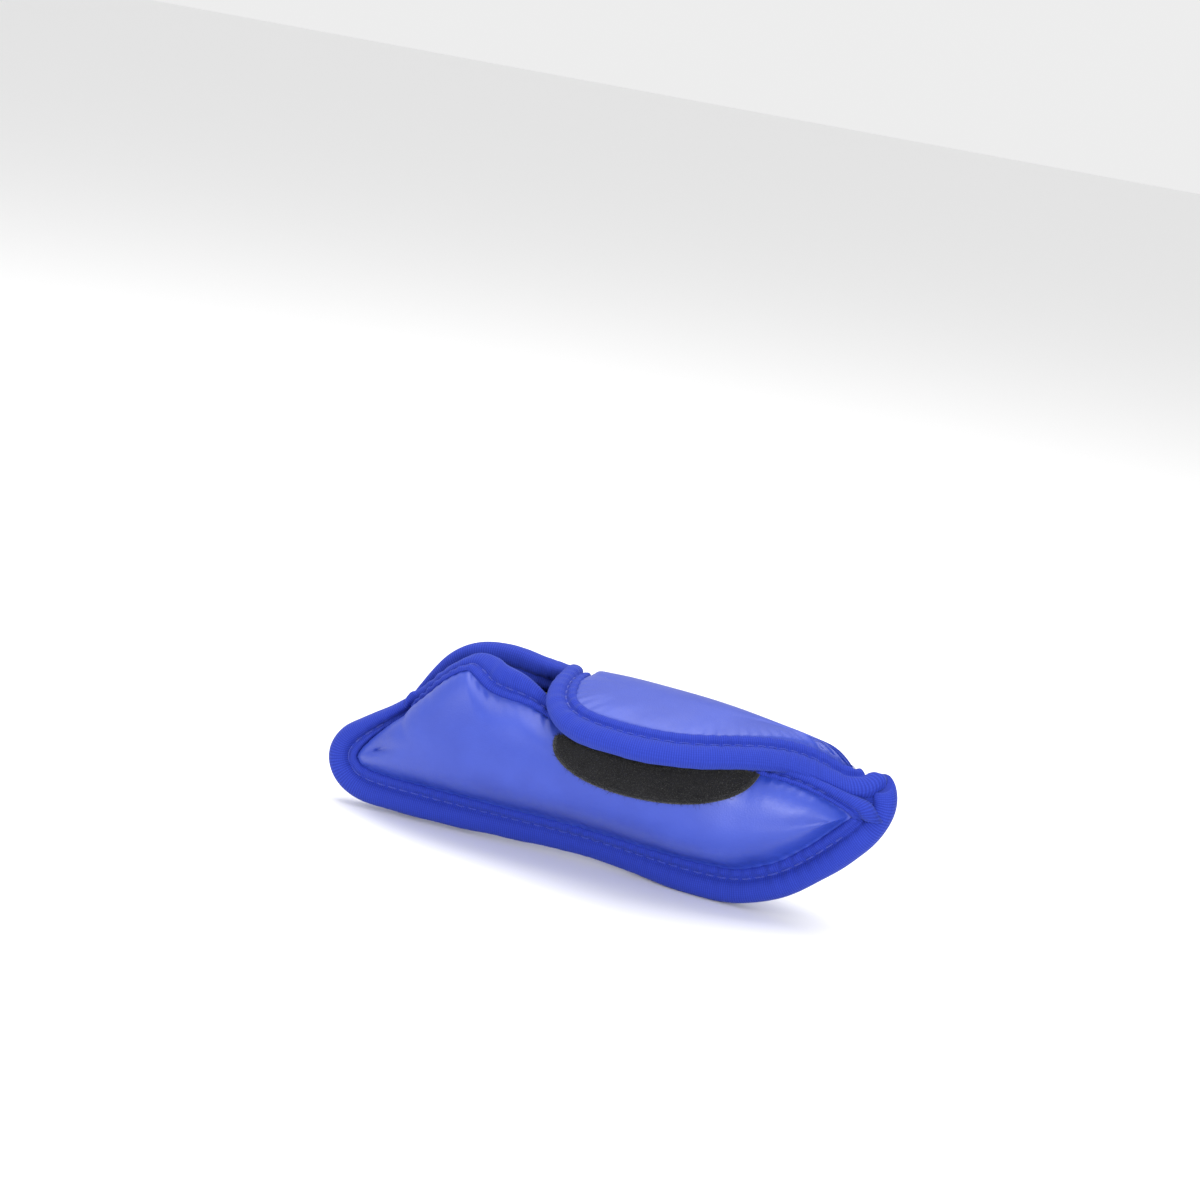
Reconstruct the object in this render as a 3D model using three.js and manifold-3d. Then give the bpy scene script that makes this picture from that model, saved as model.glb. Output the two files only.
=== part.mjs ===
// Head cover for a blade putter: two padded faux-leather panels sewn together round the sole, a padded flap that
// folds over the mouth and closes on a hook-and-loop patch, and a knitted tape that binds every edge.
// Millimetres. X runs from the heel to the toe, Y from the front (-) to the back (+), Z up. All but the last line
// measure Z from the sole; the finished group's origin is the middle of the pocket.
import * as THREE from "three";
import Module from "manifold-3d";
import { mergeVertices } from "three/addons/utils/BufferGeometryUtils.js";

const wasm = await Module();
wasm.setup();

// ---- Driving dimensions ------------------------------------------------------------------------------------------

const GAP = 0.3; // left between touching solids
const SEAM_HALF = 2.35; // leather surface to the middle of the seam, where both panels are sewn together
const EDGE_HALF = 1.1; // the same where one panel alone is bound

// Each layer of a panel lies between two depths under the leather's outer face. The first number of a depth holds
// at the seams, where the padding is squashed, and the second is added where it is full.
const LAYERS = {
  panel: [[0, 0], [0.7, 0]],
  foam: [[1, 0], [1.4, 2.3]],
  lining: [[1.7, 2.3], [2.2, 2.4]],
};

const DEEPEST = LAYERS.lining[1];

const FLANGE_WIDTH = 6.6; // seam allowance that the binding wraps
const BINDING_WIDTH = { perimeter: 10.6, mouth: 9, neck: 9, flap: 9.4 }; // from the leather's edge, roll and all
const RIDGE_WIDTH = 2.7; // hem of the tape, inside the stitches
const STITCH_LINE = 3.2; // from the leather's visible edge to the seam
const THREAD_RADIUS = 0.3;
const FINEST = 0.01; // details smaller than this are left out of the finished solids
const POCKET_HEIGHT = 30; // from the sole to the middle of the pocket
const FOLD_GAP = 0.4; // from the fold to the back panel, and from the fold to the flap

// Edges of the panels, at the visible edge of the leather. A row is x, y, z, then the tilt of the seam allowance
// away from the panel's face and the angle at which the padded face rises from it, both in degrees, and the share
// of the binding's full width, if not all. Then comes the distance from the row's point to the leather.
const onSeam = (rows) => rows.map(([x, y, z, tilt, rise, width = 1]) => [x, y, z, tilt, rise, width, SEAM_HALF]);
const onEdge = (rows) => rows.map(([x, y, z, tilt, rise, width = 1]) => [x, y, z, tilt, rise, width, 0]);

const HEEL_CORNER = onSeam([[-74.6, 0, 17.6, 0, 56]]);
const SOLE = onSeam([
  [-75.9, 0, 15.6, 0, 54],
  [-74.2, 0, 13.9, 0, 56],
  [-68.5, 0, 13, 0, 64],
  [-52, 0, 12.9, 2, 70],
  [-28, 0, 13.4, 16, 66],
  [-4, 0, 13.6, 24, 62],
  [18, 0, 12.4, 12, 66],
  [30, 0, 11.9, 2, 68],
  [41.5, 0, 12.8, 0, 68],
  [52, 0, 17.5, 0, 68],
  [61, 0, 25, 0, 68],
]);
const HEEL_SIDE = onSeam([
  [-70, 0, 21, 0, 70, 0.8],
  [-64.5, 0, 25.9, 0, 84, 0.7],
]);
const MOUTH_HEEL = onSeam([[-60.4, 0, 29.6, 0, 88, 0.7]]);
const MOUTH_TOE = onSeam([[70.6, 0, 35.2, 0, 54, 0.6]]);
const MOUTH = onEdge([
  [-56.6, -6, 36.6, 45, 84, 0.8],
  [-52, -8.8, 43.2, 60, 76, 0.8],
  [-47, -11.2, 48.6, 66, 66, 0.8],
  [-43, -12.4, 50.4, 50, 58, 0.9],
  [-39.4, -13.2, 47.6, 15, 54],
  [-35.5, -13.8, 45.4, 8, 52],
  [-31, -14, 44.6, 8, 52],
  [-26.5, -14, 44.8, 15, 52, 0.9],
  [-21.5, -14, 45, 45, 54, 0.7],
  [-16, -14.6, 44, 64, 56, 0.6],
  [-8, -16.6, 43.2, 68, 56, 0.6],
  [4, -18, 43.2, 68, 56, 0.75],
  [18, -18.2, 43, 66, 56, 0.75],
  [31, -16.8, 43, 64, 56, 0.7],
  [42, -13.8, 43, 58, 60, 0.6],
  [50, -11.2, 42.4, 50, 64, 0.55],
  [57, -8.8, 41.2, 40, 68, 0.5],
  [64, -6, 38.8, 25, 72, 0.5],
]);
const NECK = onEdge([
  [-56.4, 6, 35.6, 0, 80],
  [-51.2, 9, 41, 0, 74],
  [-46.6, 11, 44.8, 2, 68],
  [-40, 12.2, 46.4, 4, 62],
  [-31, 12.6, 46, 4, 58],
  [-24, 12, 45.8, 6, 54],
  [-19, 11.2, 46.8, 8, 50, 0.9],
  [-15.2, 10.2, 49.2, 4, 48, 0.8],
]);
const TOE_SIDE = onEdge([[72.6, 3.6, 38.4, 0, 60, 0.9], [72, 3.8, 41.4, 0, 54, 0.85]]);
const FLAP_HEEL_END = onEdge([[-12.8, 5, 53.9, 4, 52, 0.8], [-12.4, 0, 54.6, 10, 56, 0.95]]);
const FLAP_EDGE = onEdge([
  [-11.6, -6, 54.8, 14, 62],
  [-10.4, -13, 53.4, 20, 68],
  [-7.6, -19.4, 52.2, 26, 74],
  [-1.5, -23.2, 51.2, 30, 78],
  [8, -24.4, 51, 30, 80],
  [19.5, -24, 51, 30, 80],
  [30, -20.6, 51.8, 32, 76],
  [40, -16, 51.6, 30, 70],
  [49, -9.6, 52.8, 28, 62],
  [57, -4, 51.8, 22, 58, 0.9],
]);
const FLAP_TOE_END = onEdge([[64.4, 0.2, 48.8, 14, 54, 0.85]]);

// The fold: an arc in a plane across the surface, bulging outwards from a straight chord.
const FOLD_HEEL = new THREE.Vector3(-13, 9.2, 53);
const FOLD_TOE = new THREE.Vector3(69.6, 4.2, 44.6);
const FOLD_BULGE = 4.4;
const FOLD_CHORD = FOLD_TOE.clone().sub(FOLD_HEEL).normalize();
const FOLD_ACROSS = new THREE.Vector3(0, 0.69, 0.72).cross(FOLD_CHORD).normalize(); // to the back
const FOLD_OUTWARD = FOLD_ACROSS.clone().cross(FOLD_CHORD).negate();
const RISE_TO_FOLD = { back: 46, flap: 58 };

// Crests of the padding, and the way each one faces.
const FRONT_CREST = [
  [-63, -8.8, 19.8],
  [-58, -12.6, 21.8],
  [-54, -15, 23.6],
  [-44, -19, 27],
  [-30, -21.4, 29.3],
  [5, -23.6, 30.5],
  [30, -22.8, 29.8],
  [44, -19, 30],
  [52, -14.8, 31.5],
  [60, -10, 33.3],
  [65, -6.6, 34.4],
];
const BACK_CREST = [
  [-63, 8.8, 19.8],
  [-58, 12.6, 21.8],
  [-54, 14.6, 23.6],
  [-44, 18, 27],
  [-30, 20.6, 29],
  [5, 22, 29.5],
  [30, 21.4, 28.8],
  [46, 18, 31],
  [56, 14, 34],
  [64, 10.4, 37.6],
];
const FLAP_CREST = [
  [-5, -4.5, 56.4],
  [5, -7.4, 57.8],
  [18, -8.4, 58.2],
  [34, -6.2, 57.2],
  [46, -2.4, 55.7],
  [55, 0, 53.5],
];
const FRONT_FACING = new THREE.Vector3(0, -1, 0);
const BACK_FACING = new THREE.Vector3(0, 1, 0);
const FLAP_FACING = new THREE.Vector3(0, -0.25, 0.97).normalize();

const FULLNESS = 0.62; // 0.55 gives elliptical sections, and more gives squarer ones
const FULL_PADDING_FROM = 0.35; // share of the way to the crest at which the padding has its full thickness
const FULL_PADDING_REACH = 9; // padding is thinner where the crest is nearer to the edge than this
const MITRE_REACH = 0.3; // share of the way to the crest that the padding may take up at the edge

// Half-moon patches of hook-and-loop tape: x and z on the front panel, x and y inside the flap.
const LOOP_PATCH = { x: 19.5, y: 40.4, halfWidth: 27, depth: 10, top: 1.4, slant: 0.05, facing: "Y" };
const HOOK_PATCH = { x: 17, y: -14.5, halfWidth: 18, depth: 6, top: 2.4, slant: 0.08, facing: "Z" };
const PATCH_THICKNESS = 0.9;
const PATCH_INSET = 1.3; // from a patch's edge to its thread

// Mesh resolution.
const STEPS = { sole: 26, heelSide: 5, mouth: 21, neck: 10, fold: 14, toeSide: 3, flap: 22 }; // along the edges
const RINGS = [0, 0.15, 0.45, 1]; // from the leather's edge to the crest
const BEND_STEP = 7; // millimetres of edge that a turn of one radian counts for
const PATCH_STEPS = 24;

// ---- Curves ------------------------------------------------------------------------------------------------------

// A smooth curve through rows of numbers, as densely sampled rows.
function smoothCurve(rows, perSpan = 12) {
  const at = (i) => rows[Math.min(Math.max(i, 0), rows.length - 1)];
  const dense = [];
  for (let i = 0; i + 1 < rows.length; i++)
    for (let k = 0; k < perSpan; k++) {
      const t = k / perSpan;
      dense.push(at(i).map((p1, d) => {
        const [p0, p2, p3] = [at(i - 1)[d], at(i + 1)[d], at(i + 2)[d]];
        return p1 + 0.5 * t * (p2 - p0 + t * (2 * p0 - 5 * p1 + 4 * p2 - p3 + t * (3 * (p1 - p2) + p3 - p0)));
      }));
    }
  dense.push(rows.at(-1));
  return dense;
}

// The row at a measure, where measures rise along the rows.
function rowAt(rows, measures, want) {
  let j = 0;
  while (j + 2 < rows.length && measures[j + 1] < want) j++;
  const t = Math.min(Math.max((want - measures[j]) / (measures[j + 1] - measures[j]), 0), 1);
  return rows[j].map((v, d) => v + t * (rows[j + 1][d] - v));
}

// A smooth curve through rows, resampled evenly, but more closely where it bends.
function evenly(rows, count) {
  const dense = smoothCurve(rows);
  const points = dense.map(vector);
  const reach = [0];
  for (let i = 1; i < points.length; i++) {
    const step = points[i].clone().sub(points[i - 1]);
    const before = i > 1 ? points[i - 1].clone().sub(points[i - 2]) : step;
    reach.push(reach[i - 1] + step.length() + BEND_STEP * before.angleTo(step));
  }
  return Array.from({ length: count + 1 }, (_, i) => rowAt(dense, reach, (reach.at(-1) * i) / count));
}

const vector = (row) => new THREE.Vector3(row[0], row[1], row[2]);
const radians = THREE.MathUtils.degToRad;
const smooth = (t) => THREE.MathUtils.smoothstep(t, 0, 1);

// ---- Panels ------------------------------------------------------------------------------------------------------

// A padded panel's outer face. Its edge is a loop: the lower rows one way and the upper rows back, both sampled
// alike, so that opposite points share a point of the crest.
function panelFace({ lower, upper, crest, facing }) {
  const [low, high] = [lower, upper].map((stretches) => [
    stretches[0][0][0],
    ...stretches.flatMap(([rows, count]) => evenly(rows, count).slice(1)),
  ]);
  const steps = low.length - 1;
  const loop = [...low, ...high.slice(1, -1).reverse()];
  const count = loop.length;

  const denseCrest = smoothCurve(crest);
  const across = low.map((row, i) => (row[0] + high[i][0]) / 2);
  const crestPoints = across.map((x) => {
    const share = (x - across[0]) / (across.at(-1) - across[0]);
    const crestX = crest[0][0] + share * (crest.at(-1)[0] - crest[0][0]);
    return vector(rowAt(denseCrest, denseCrest.map((row) => row[0]), crestX));
  });

  const edge = loop.map((row, i) => {
    const top = crestPoints[i <= steps ? i : count - i];
    const along = vector(loop[(i + 1) % count]).sub(vector(loop[(i + count - 1) % count])).normalize();
    const out = new THREE.Vector3().crossVectors(along, facing).normalize();
    if (out.dot(vector(row).sub(top)) < 0) out.negate();
    const tilt = radians(row[3]);
    const allowance = out.clone().multiplyScalar(Math.cos(tilt)).addScaledVector(facing, -Math.sin(tilt));
    const normal = facing.clone().multiplyScalar(Math.cos(tilt)).addScaledVector(out, Math.sin(tilt));
    const { share, offPlane } = onFold(vector(row));
    const folded = offPlane < 2 * FOLD_GAP && Math.abs(share - 0.5) < 0.499;
    if (offPlane < 2 * FOLD_GAP && Math.abs(Math.abs(share - 0.5) - 0.5) < 0.001) {
      allowance.copy(FOLD_CHORD).multiplyScalar(share < 0.5 ? -1 : 1);
      normal.copy(FOLD_OUTWARD);
    }
    const seam = THREE.MathUtils.clamp(row[6], 0, SEAM_HALF);
    const foot = vector(row).addScaledVector(normal, seam);
    const half = EDGE_HALF + ((SEAM_HALF - EDGE_HALF) * seam) / SEAM_HALF;
    const reach = top.clone().sub(foot).projectOnPlane(facing).length();
    return { foot, top, out, allowance, normal, half, folded, reach, rise: radians(row[4]), width: Math.min(row[5], 1) };
  });
  edge.forEach((e, i) => {
    const room = Math.min(e.reach, edge[(count - i) % count].reach);
    e.padding = THREE.MathUtils.clamp(room / FULL_PADDING_REACH, 0.1, 1);
  });
  return { edge, facing, steps };
}

// Where the section that rises from the edge to the crest is, at a depth under the leather's outer face.
function sectionPoint({ foot, top, out, normal, rise, folded, reach, padding }, facing, s, depth) {
  const inwards = top.clone().sub(foot);
  inwards.addScaledVector(facing, -inwards.dot(facing)).normalize();
  const start = facing.clone().multiplyScalar(Math.sin(rise)).addScaledVector(inwards, Math.cos(rise));
  const risingNormal = facing.clone().multiplyScalar(Math.cos(rise)).addScaledVector(out, Math.sin(rise));
  const mitre = normal.clone().add(risingNormal).divideScalar(1 + normal.dot(risingNormal));
  const sideways = mitre.clone().projectOnPlane(facing);
  const mostSideways = (MITRE_REACH * reach) / (DEEPEST[0] + DEEPEST[1] * padding);
  if (sideways.length() > mostSideways) mitre.addScaledVector(sideways, mostSideways / sideways.length() - 1);
  const from = foot.clone().addScaledVector(folded ? FOLD_OUTWARD : mitre, -depth);
  const to = top.clone().addScaledVector(facing, -depth);
  const level = from.clone().sub(to);
  const height = -level.dot(facing);
  level.addScaledVector(facing, height);
  return new THREE.CubicBezierCurve3(
    from,
    from.clone().addScaledVector(start, FULLNESS * height),
    to.clone().addScaledVector(level, FULLNESS * 0.9),
    to,
  ).getPoint(s);
}

// The triangles of a face with rows of points round it, whose last row is doubled up on the crest.
function faceTriangles(rows) {
  const count = rows[0].length;
  const triangles = [];
  for (let j = 0; j + 1 < rows.length; j++)
    for (let i = 0; i < count; i++) {
      const k = (i + 1) % count;
      const [a, b, c, d] = [[j, i], [j, k], [j + 1, k], [j + 1, i]];
      triangles.push([a, b, c], [a, c, d]);
    }
  return triangles;
}

// The closed solid between two sheets of the same triangles.
function between(outer, inner) {
  const soup = [];
  for (const corners of faceTriangles(outer)) {
    soup.push(corners.map(([j, i]) => outer[j][i]));
    soup.push(corners.map(([j, i]) => inner[j][i]).reverse());
  }
  const [top, bottom] = [outer[0], inner[0]];
  top.forEach((_, i) => {
    const k = (i + 1) % top.length;
    soup.push([top[k], top[i], bottom[i]], [top[k], bottom[i], bottom[k]]);
  });
  return solidOf(soup);
}

// One layer of a panel, between two depths under its outer face, whose seam allowance is a little wider by extra.
function layer({ edge, facing }, depths, extra = 0) {
  const [outer, inner] = depths.map(([least, more]) => {
    const allowance = edge.map((e) =>
      e.folded
        ? sectionPoint(e, facing, 0, least + more * e.padding)
        : e.foot.clone().addScaledVector(e.normal, -least).addScaledVector(e.allowance, FLANGE_WIDTH * e.width + extra));
    const rings = RINGS.map((s) =>
      edge.map((e) => {
        const fullness = e.folded ? 1 : smooth(s / FULL_PADDING_FROM);
        return sectionPoint(e, facing, s, least + more * fullness * e.padding);
      }));
    return [allowance, ...rings];
  });
  return between(outer, inner);
}

// ---- Solids ------------------------------------------------------------------------------------------------------

// A manifold from a list of triangles, turned to face outwards.
function solidOf(soup) {
  const positions = soup.flat().flatMap((p) => [p.x, p.y, p.z]);
  const geometry = new THREE.BufferGeometry();
  geometry.setAttribute("position", new THREE.Float32BufferAttribute(positions, 3));
  const merged = mergeVertices(geometry, 1e-3);
  const triVerts = [];
  const index = merged.index.array;
  for (let i = 0; i < index.length; i += 3) {
    const [a, b, c] = [index[i], index[i + 1], index[i + 2]];
    if (a !== b && b !== c && c !== a) triVerts.push(a, b, c);
  }
  const build = (order) =>
    new wasm.Manifold(new wasm.Mesh({
      numProp: 3,
      vertProperties: merged.attributes.position.array,
      triVerts: new Uint32Array(order),
    }));
  const solid = build(triVerts);
  return solid.volume() > 0 ? solid : build(triVerts.reverse());
}

// The largest body of a solid, without slivers and sealed cavities.
function largest(solid) {
  const { numProp, vertProperties, triVerts } = solid.getMesh();
  const corner = (i) => vector(vertProperties.subarray(i * numProp, i * numProp + 3));
  const soup = [];
  for (let i = 0; i < triVerts.length; i += 3) soup.push([...triVerts.subarray(i, i + 3)].map(corner));
  return solidOf(soup).decompose().sort((a, b) => b.volume() - a.volume())[0];
}

function mesh(name, solid, material) {
  const { numProp, vertProperties, triVerts } = solid.simplify(FINEST).getMesh();
  const geometry = new THREE.BufferGeometry();
  const positions = [];
  for (let i = 0; i < vertProperties.length; i += numProp) positions.push(...vertProperties.subarray(i, i + 3));
  geometry.setAttribute("position", new THREE.Float32BufferAttribute(positions, 3));
  geometry.setIndex([...triVerts]);
  geometry.computeVertexNormals();
  const made = new THREE.Mesh(geometry, material);
  made.name = name;
  return made;
}

// A closed profile, in steps along the seam allowance and its normal, carried along frames.
function sweep(frames, profileAt) {
  const sections = frames.map((frame, i) =>
    profileAt(i).map(([out, up]) =>
      frame.foot.clone().addScaledVector(frame.allowance, out).addScaledVector(frame.normal, up)));
  const soup = [];
  const size = sections[0].length;
  for (let i = 0; i + 1 < sections.length; i++)
    for (let k = 0; k < size; k++) {
      const next = (k + 1) % size;
      const [a, b, c, d] = [sections[i][k], sections[i][next], sections[i + 1][next], sections[i + 1][k]];
      soup.push([a, b, c], [a, c, d]);
    }
  const flat = profileAt(0).map(([x, y]) => new THREE.Vector2(x, y));
  const clockwise = THREE.ShapeUtils.isClockWise(flat);
  const caps = clockwise ? [sections.at(-1), sections[0]] : [sections[0], sections.at(-1)];
  for (const [a, b, c] of THREE.ShapeUtils.triangulateShape(flat, []))
    soup.push([caps[0][c], caps[0][b], caps[0][a]], [caps[1][a], caps[1][b], caps[1][c]]);
  return solidOf(soup);
}

// ---- Bindings ----------------------------------------------------------------------------------------------------

// The knitted tape's section, as steps outwards from the leather's edge and up from the middle of the panels: a
// hem, a groove for the stitches and a fat roll. grow thickens it on every side.
function tapeProfile({ half, width: share }, width, grow = 0) {
  const outer = [
    [0.3, half + GAP],
    [0.5, half + 1.1],
    [RIDGE_WIDTH - 0.5, half + 1.2],
    [STITCH_LINE, half + 0.8],
    [STITCH_LINE + 1, half + 1.6],
    [width * 0.66, half + 2],
    [width - 1, half + 0.9],
    [width, 0.3 * half],
  ].map(([out, up], k) => [share * out + grow * (k < 2 ? -1 : 1), up + grow * (k ? 1 : -1)]);
  const flange = FLANGE_WIDTH * share + GAP - grow;
  const inner = [[flange, half + GAP - grow], [flange + 0.4, half]];
  const mirror = ([out, up]) => [out, -up];
  return [...outer, ...outer.toReversed().map(mirror), ...inner.map(mirror), ...inner.toReversed()];
}

const midFrame = (e) => ({ ...e, foot: e.foot.clone().addScaledVector(e.normal, -e.half) });

const binding = (frames, width, grow = 0) => sweep(frames, (i) => tapeProfile(frames[i], width, grow));

// A thread that lies in the tape's stitched groove, on the face side or (side -1) on the other one.
function stitching(frames, side = 1) {
  const sides = 5;
  return sweep(frames, (i) => {
    const lift = frames[i].half + 0.8 + GAP + THREAD_RADIUS;
    return Array.from({ length: sides }, (_, k) => {
      const turn = (2 * Math.PI * k) / sides;
      const out = STITCH_LINE * frames[i].width + THREAD_RADIUS * Math.cos(turn);
      return [out, side * (lift + THREAD_RADIUS * Math.sin(turn))];
    });
  });
}

// ---- Patches -----------------------------------------------------------------------------------------------------

// A prism on a half-moon, shrunk by inset. It stands on the front (facing Y) or above and below (facing Z).
function halfMoonPrism({ x, y, halfWidth, depth, top, slant, facing }, inset = 0) {
  const outline = Array.from({ length: PATCH_STEPS }, (_, k) => {
    const turn = (2 * Math.PI * k) / PATCH_STEPS;
    const below = Math.sin(turn) < 0;
    const dx = (halfWidth - inset) * Math.sign(Math.cos(turn)) * Math.abs(Math.cos(turn)) ** (below ? 0.9 : 0.6);
    return [x + dx, y + ((below ? depth : top) - inset) * Math.sin(turn) + slant * dx];
  });
  const prism = new wasm.CrossSection([outline]).extrude(60);
  return facing === "Y" ? prism.rotate([90, 0, 0]) : prism;
}

// A patch sewn on at a depth under a panel's outer face (or over it, when negative), and its thread.
function patch(face, spec, depth) {
  const plate = ([from, to]) => layer(face, [[from, depth.more], [to, depth.more]]);
  const { near, far } = depth;
  const side = Math.sign(far - near);
  const sorted = (a, b) => (a < b ? [a, b] : [b, a]);
  const body = plate(sorted(near, far)).intersect(halfMoonPrism(spec));
  const threadDepth = sorted(far + side * GAP, far + side * (GAP + 2 * THREAD_RADIUS));
  const ring = halfMoonPrism(spec, PATCH_INSET).subtract(halfMoonPrism(spec, PATCH_INSET + 2 * THREAD_RADIUS));
  return { body: largest(body), thread: largest(plate(threadDepth).intersect(ring)) };
}

// ---- The head cover ----------------------------------------------------------------------------------------------

// How far along the fold a point is, as a share of its chord, and how far off the fold's plane.
function onFold(point) {
  const from = point.clone().sub(FOLD_HEEL);
  return { share: from.dot(FOLD_CHORD) / FOLD_HEEL.distanceTo(FOLD_TOE), offPlane: Math.abs(from.dot(FOLD_ACROSS)) };
}

// Rows along the fold, for the panel that leaves it one way (side 1, the back) or the other (side -1, the flap).
const foldRows = (side, rise) =>
  [0, 0.15, 0.32, 0.5, 0.68, 0.85, 1].map((t) => {
    const point = FOLD_HEEL.clone().lerp(FOLD_TOE, t).addScaledVector(FOLD_OUTWARD, FOLD_BULGE * 4 * t * (1 - t));
    return [...point.addScaledVector(FOLD_ACROSS, side * FOLD_GAP), 0, rise, t > 0 && t < 1 ? 1 : 0.8, 0];
  });
const backFold = foldRows(1, RISE_TO_FOLD.back);
const flapFold = foldRows(-1, RISE_TO_FOLD.flap);

const sole = [[...HEEL_CORNER, ...SOLE, ...MOUTH_TOE.map(([x, y, z, tilt, rise, , half]) => [x, y, z, tilt, rise, 1, half])], STEPS.sole];
const heelSide = [[...HEEL_CORNER, ...HEEL_SIDE, ...MOUTH_HEEL], STEPS.heelSide];
const faces = {
  front: panelFace({
    lower: [sole],
    upper: [heelSide, [[...MOUTH_HEEL, ...MOUTH, ...MOUTH_TOE], STEPS.mouth]],
    crest: FRONT_CREST,
    facing: FRONT_FACING,
  }),
  back: panelFace({
    lower: [[sole[0].map(([x, y, z, tilt, ...rest]) => [x, y, z, -tilt, ...rest]), sole[1]], [[...MOUTH_TOE, ...TOE_SIDE, backFold.at(-1)], STEPS.toeSide]],
    upper: [heelSide, [[...MOUTH_HEEL, ...NECK, backFold[0]], STEPS.neck], [backFold, STEPS.fold]],
    crest: BACK_CREST,
    facing: BACK_FACING,
  }),
  flap: panelFace({
    lower: [[[flapFold[0], ...FLAP_HEEL_END, ...FLAP_EDGE, ...FLAP_TOE_END, flapFold.at(-1)], STEPS.flap]],
    upper: [[flapFold, STEPS.flap]],
    crest: FLAP_CREST,
    facing: FLAP_FACING,
  }),
};

// The two edges of a panel, each from the heel to the toe.
const lowerEdge = ({ edge, steps }) => edge.slice(0, steps + 1);
const upperEdge = ({ edge, steps }) => [edge[0], ...edge.slice(steps).reverse()];
const partWay = (a, b, t) => ({
  foot: a.foot.clone().lerp(b.foot, t),
  allowance: a.allowance.clone().lerp(b.allowance, t).normalize(),
  normal: a.normal.clone().lerp(b.normal, t).normalize(),
  half: a.half + t * (b.half - a.half),
  width: a.width + t * (b.width - a.width),
});
const alone = (e) => midFrame({ ...e, half: EDGE_HALF });
const turned = (e) => ({ ...e, normal: e.normal.clone().negate() });

const seam = [...upperEdge(faces.front).slice(1, STEPS.heelSide + 1).reverse(), ...lowerEdge(faces.front).slice(0, -1)]
  .map(midFrame);
seam[0] = partWay(seam[0], seam[1], 0.15);
const toeTip = lowerEdge(faces.back).slice(STEPS.sole).map(midFrame).map(turned);
const mouth = upperEdge(faces.front).slice(STEPS.heelSide).map(alone);
const neck = upperEdge(faces.back).slice(STEPS.heelSide, STEPS.heelSide + STEPS.neck + 1).map(alone);
const flapEdge = lowerEdge(faces.flap).map(alone);

// A panel with all its layers, grown by the gap.
const envelope = (face) => layer(face, [[-GAP, 0], [DEEPEST[0] + GAP, DEEPEST[1]]], GAP);
const envelopes = Object.fromEntries(Object.entries(faces).map(([side, face]) => [side, envelope(face)]));

// Half of space: in front of or behind the seam, or on one side of the fold.
const halfSpace = (direction, offset) => {
  const turn = new THREE.Quaternion().setFromUnitVectors(new THREE.Vector3(0, 0, 1), direction);
  const matrix = new THREE.Matrix4().compose(direction.clone().multiplyScalar(offset), turn, new THREE.Vector3(1, 1, 1));
  return wasm.Manifold.cube([600, 600, 300], true).translate([0, 0, 150]).transform(matrix.elements);
};
const foldOffset = FOLD_HEEL.dot(FOLD_ACROSS);
const behindFold = halfSpace(FOLD_ACROSS, foldOffset + GAP / 2);
const beforeFold = halfSpace(FOLD_ACROSS.clone().negate(), GAP / 2 - foldOffset);
const frontHalf = halfSpace(FRONT_FACING, GAP / 2);
const backHalf = halfSpace(BACK_FACING, GAP / 2);

const tidied = (tape) => largest(tape.simplify(5 * FINEST));
const cut = (solid, ...others) => largest(others.reduce((left, other) => left.subtract(other), solid));
const sideOfFold = { back: behindFold, flap: beforeFold };
const layers = Object.fromEntries(Object.entries(faces).flatMap(([side, face]) =>
  Object.entries(LAYERS).map(([kind, depths]) => {
    const solid = layer(face, depths);
    return [`${side}_${kind}`, side === "front" ? solid : largest(solid.intersect(sideOfFold[side]))];
  })));
layers.front_foam = cut(layers.front_foam, layers.front_panel);
const flapTape = cut(
  binding(flapEdge, BINDING_WIDTH.flap).intersect(beforeFold),
  envelopes.flap,
  envelopes.back,
);
const mouthTape = cut(
  binding(mouth, BINDING_WIDTH.mouth).intersect(frontHalf),
  envelopes.front,
  envelopes.flap,
  binding(flapEdge, BINDING_WIDTH.flap, GAP),
);
const neckTape = cut(
  binding(neck, BINDING_WIDTH.neck).intersect(backHalf).intersect(behindFold),
  envelopes.back,
  layers.back_lining,
);
const perimeterTape = cut(
  binding([...seam, ...toeTip], BINDING_WIDTH.perimeter).intersect(behindFold),
  binding(mouth, BINDING_WIDTH.mouth, GAP),
  binding(neck, BINDING_WIDTH.neck, GAP),
  envelopes.front,
  envelopes.back,
);

const loopPatch = patch(faces.front, LOOP_PATCH, { near: -GAP, far: -GAP - PATCH_THICKNESS, more: 0 });
const hookFrom = DEEPEST[0] + GAP;
const hookPatch = patch(faces.flap, HOOK_PATCH, { near: hookFrom, far: hookFrom + PATCH_THICKNESS, more: DEEPEST[1] });

const blueLeather = new THREE.MeshStandardMaterial({ color: 0x3a56cf, roughness: 0.45, metalness: 0 });
const blueKnit = new THREE.MeshStandardMaterial({ color: 0x2f49cc, roughness: 0.85, metalness: 0 });
const blueFleece = new THREE.MeshStandardMaterial({ color: 0x2a3f9e, roughness: 0.95, metalness: 0 });
const blueThread = new THREE.MeshStandardMaterial({ color: 0x2c44c0, roughness: 0.7, metalness: 0 });
const whiteFoam = new THREE.MeshStandardMaterial({ color: 0xd8d8d2, roughness: 1, metalness: 0 });
const blackFastener = new THREE.MeshStandardMaterial({ color: 0x101010, roughness: 0.9, metalness: 0 });
const MATERIAL_OF_LAYER = { panel: blueLeather, foam: whiteFoam, lining: blueFleece };

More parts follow.
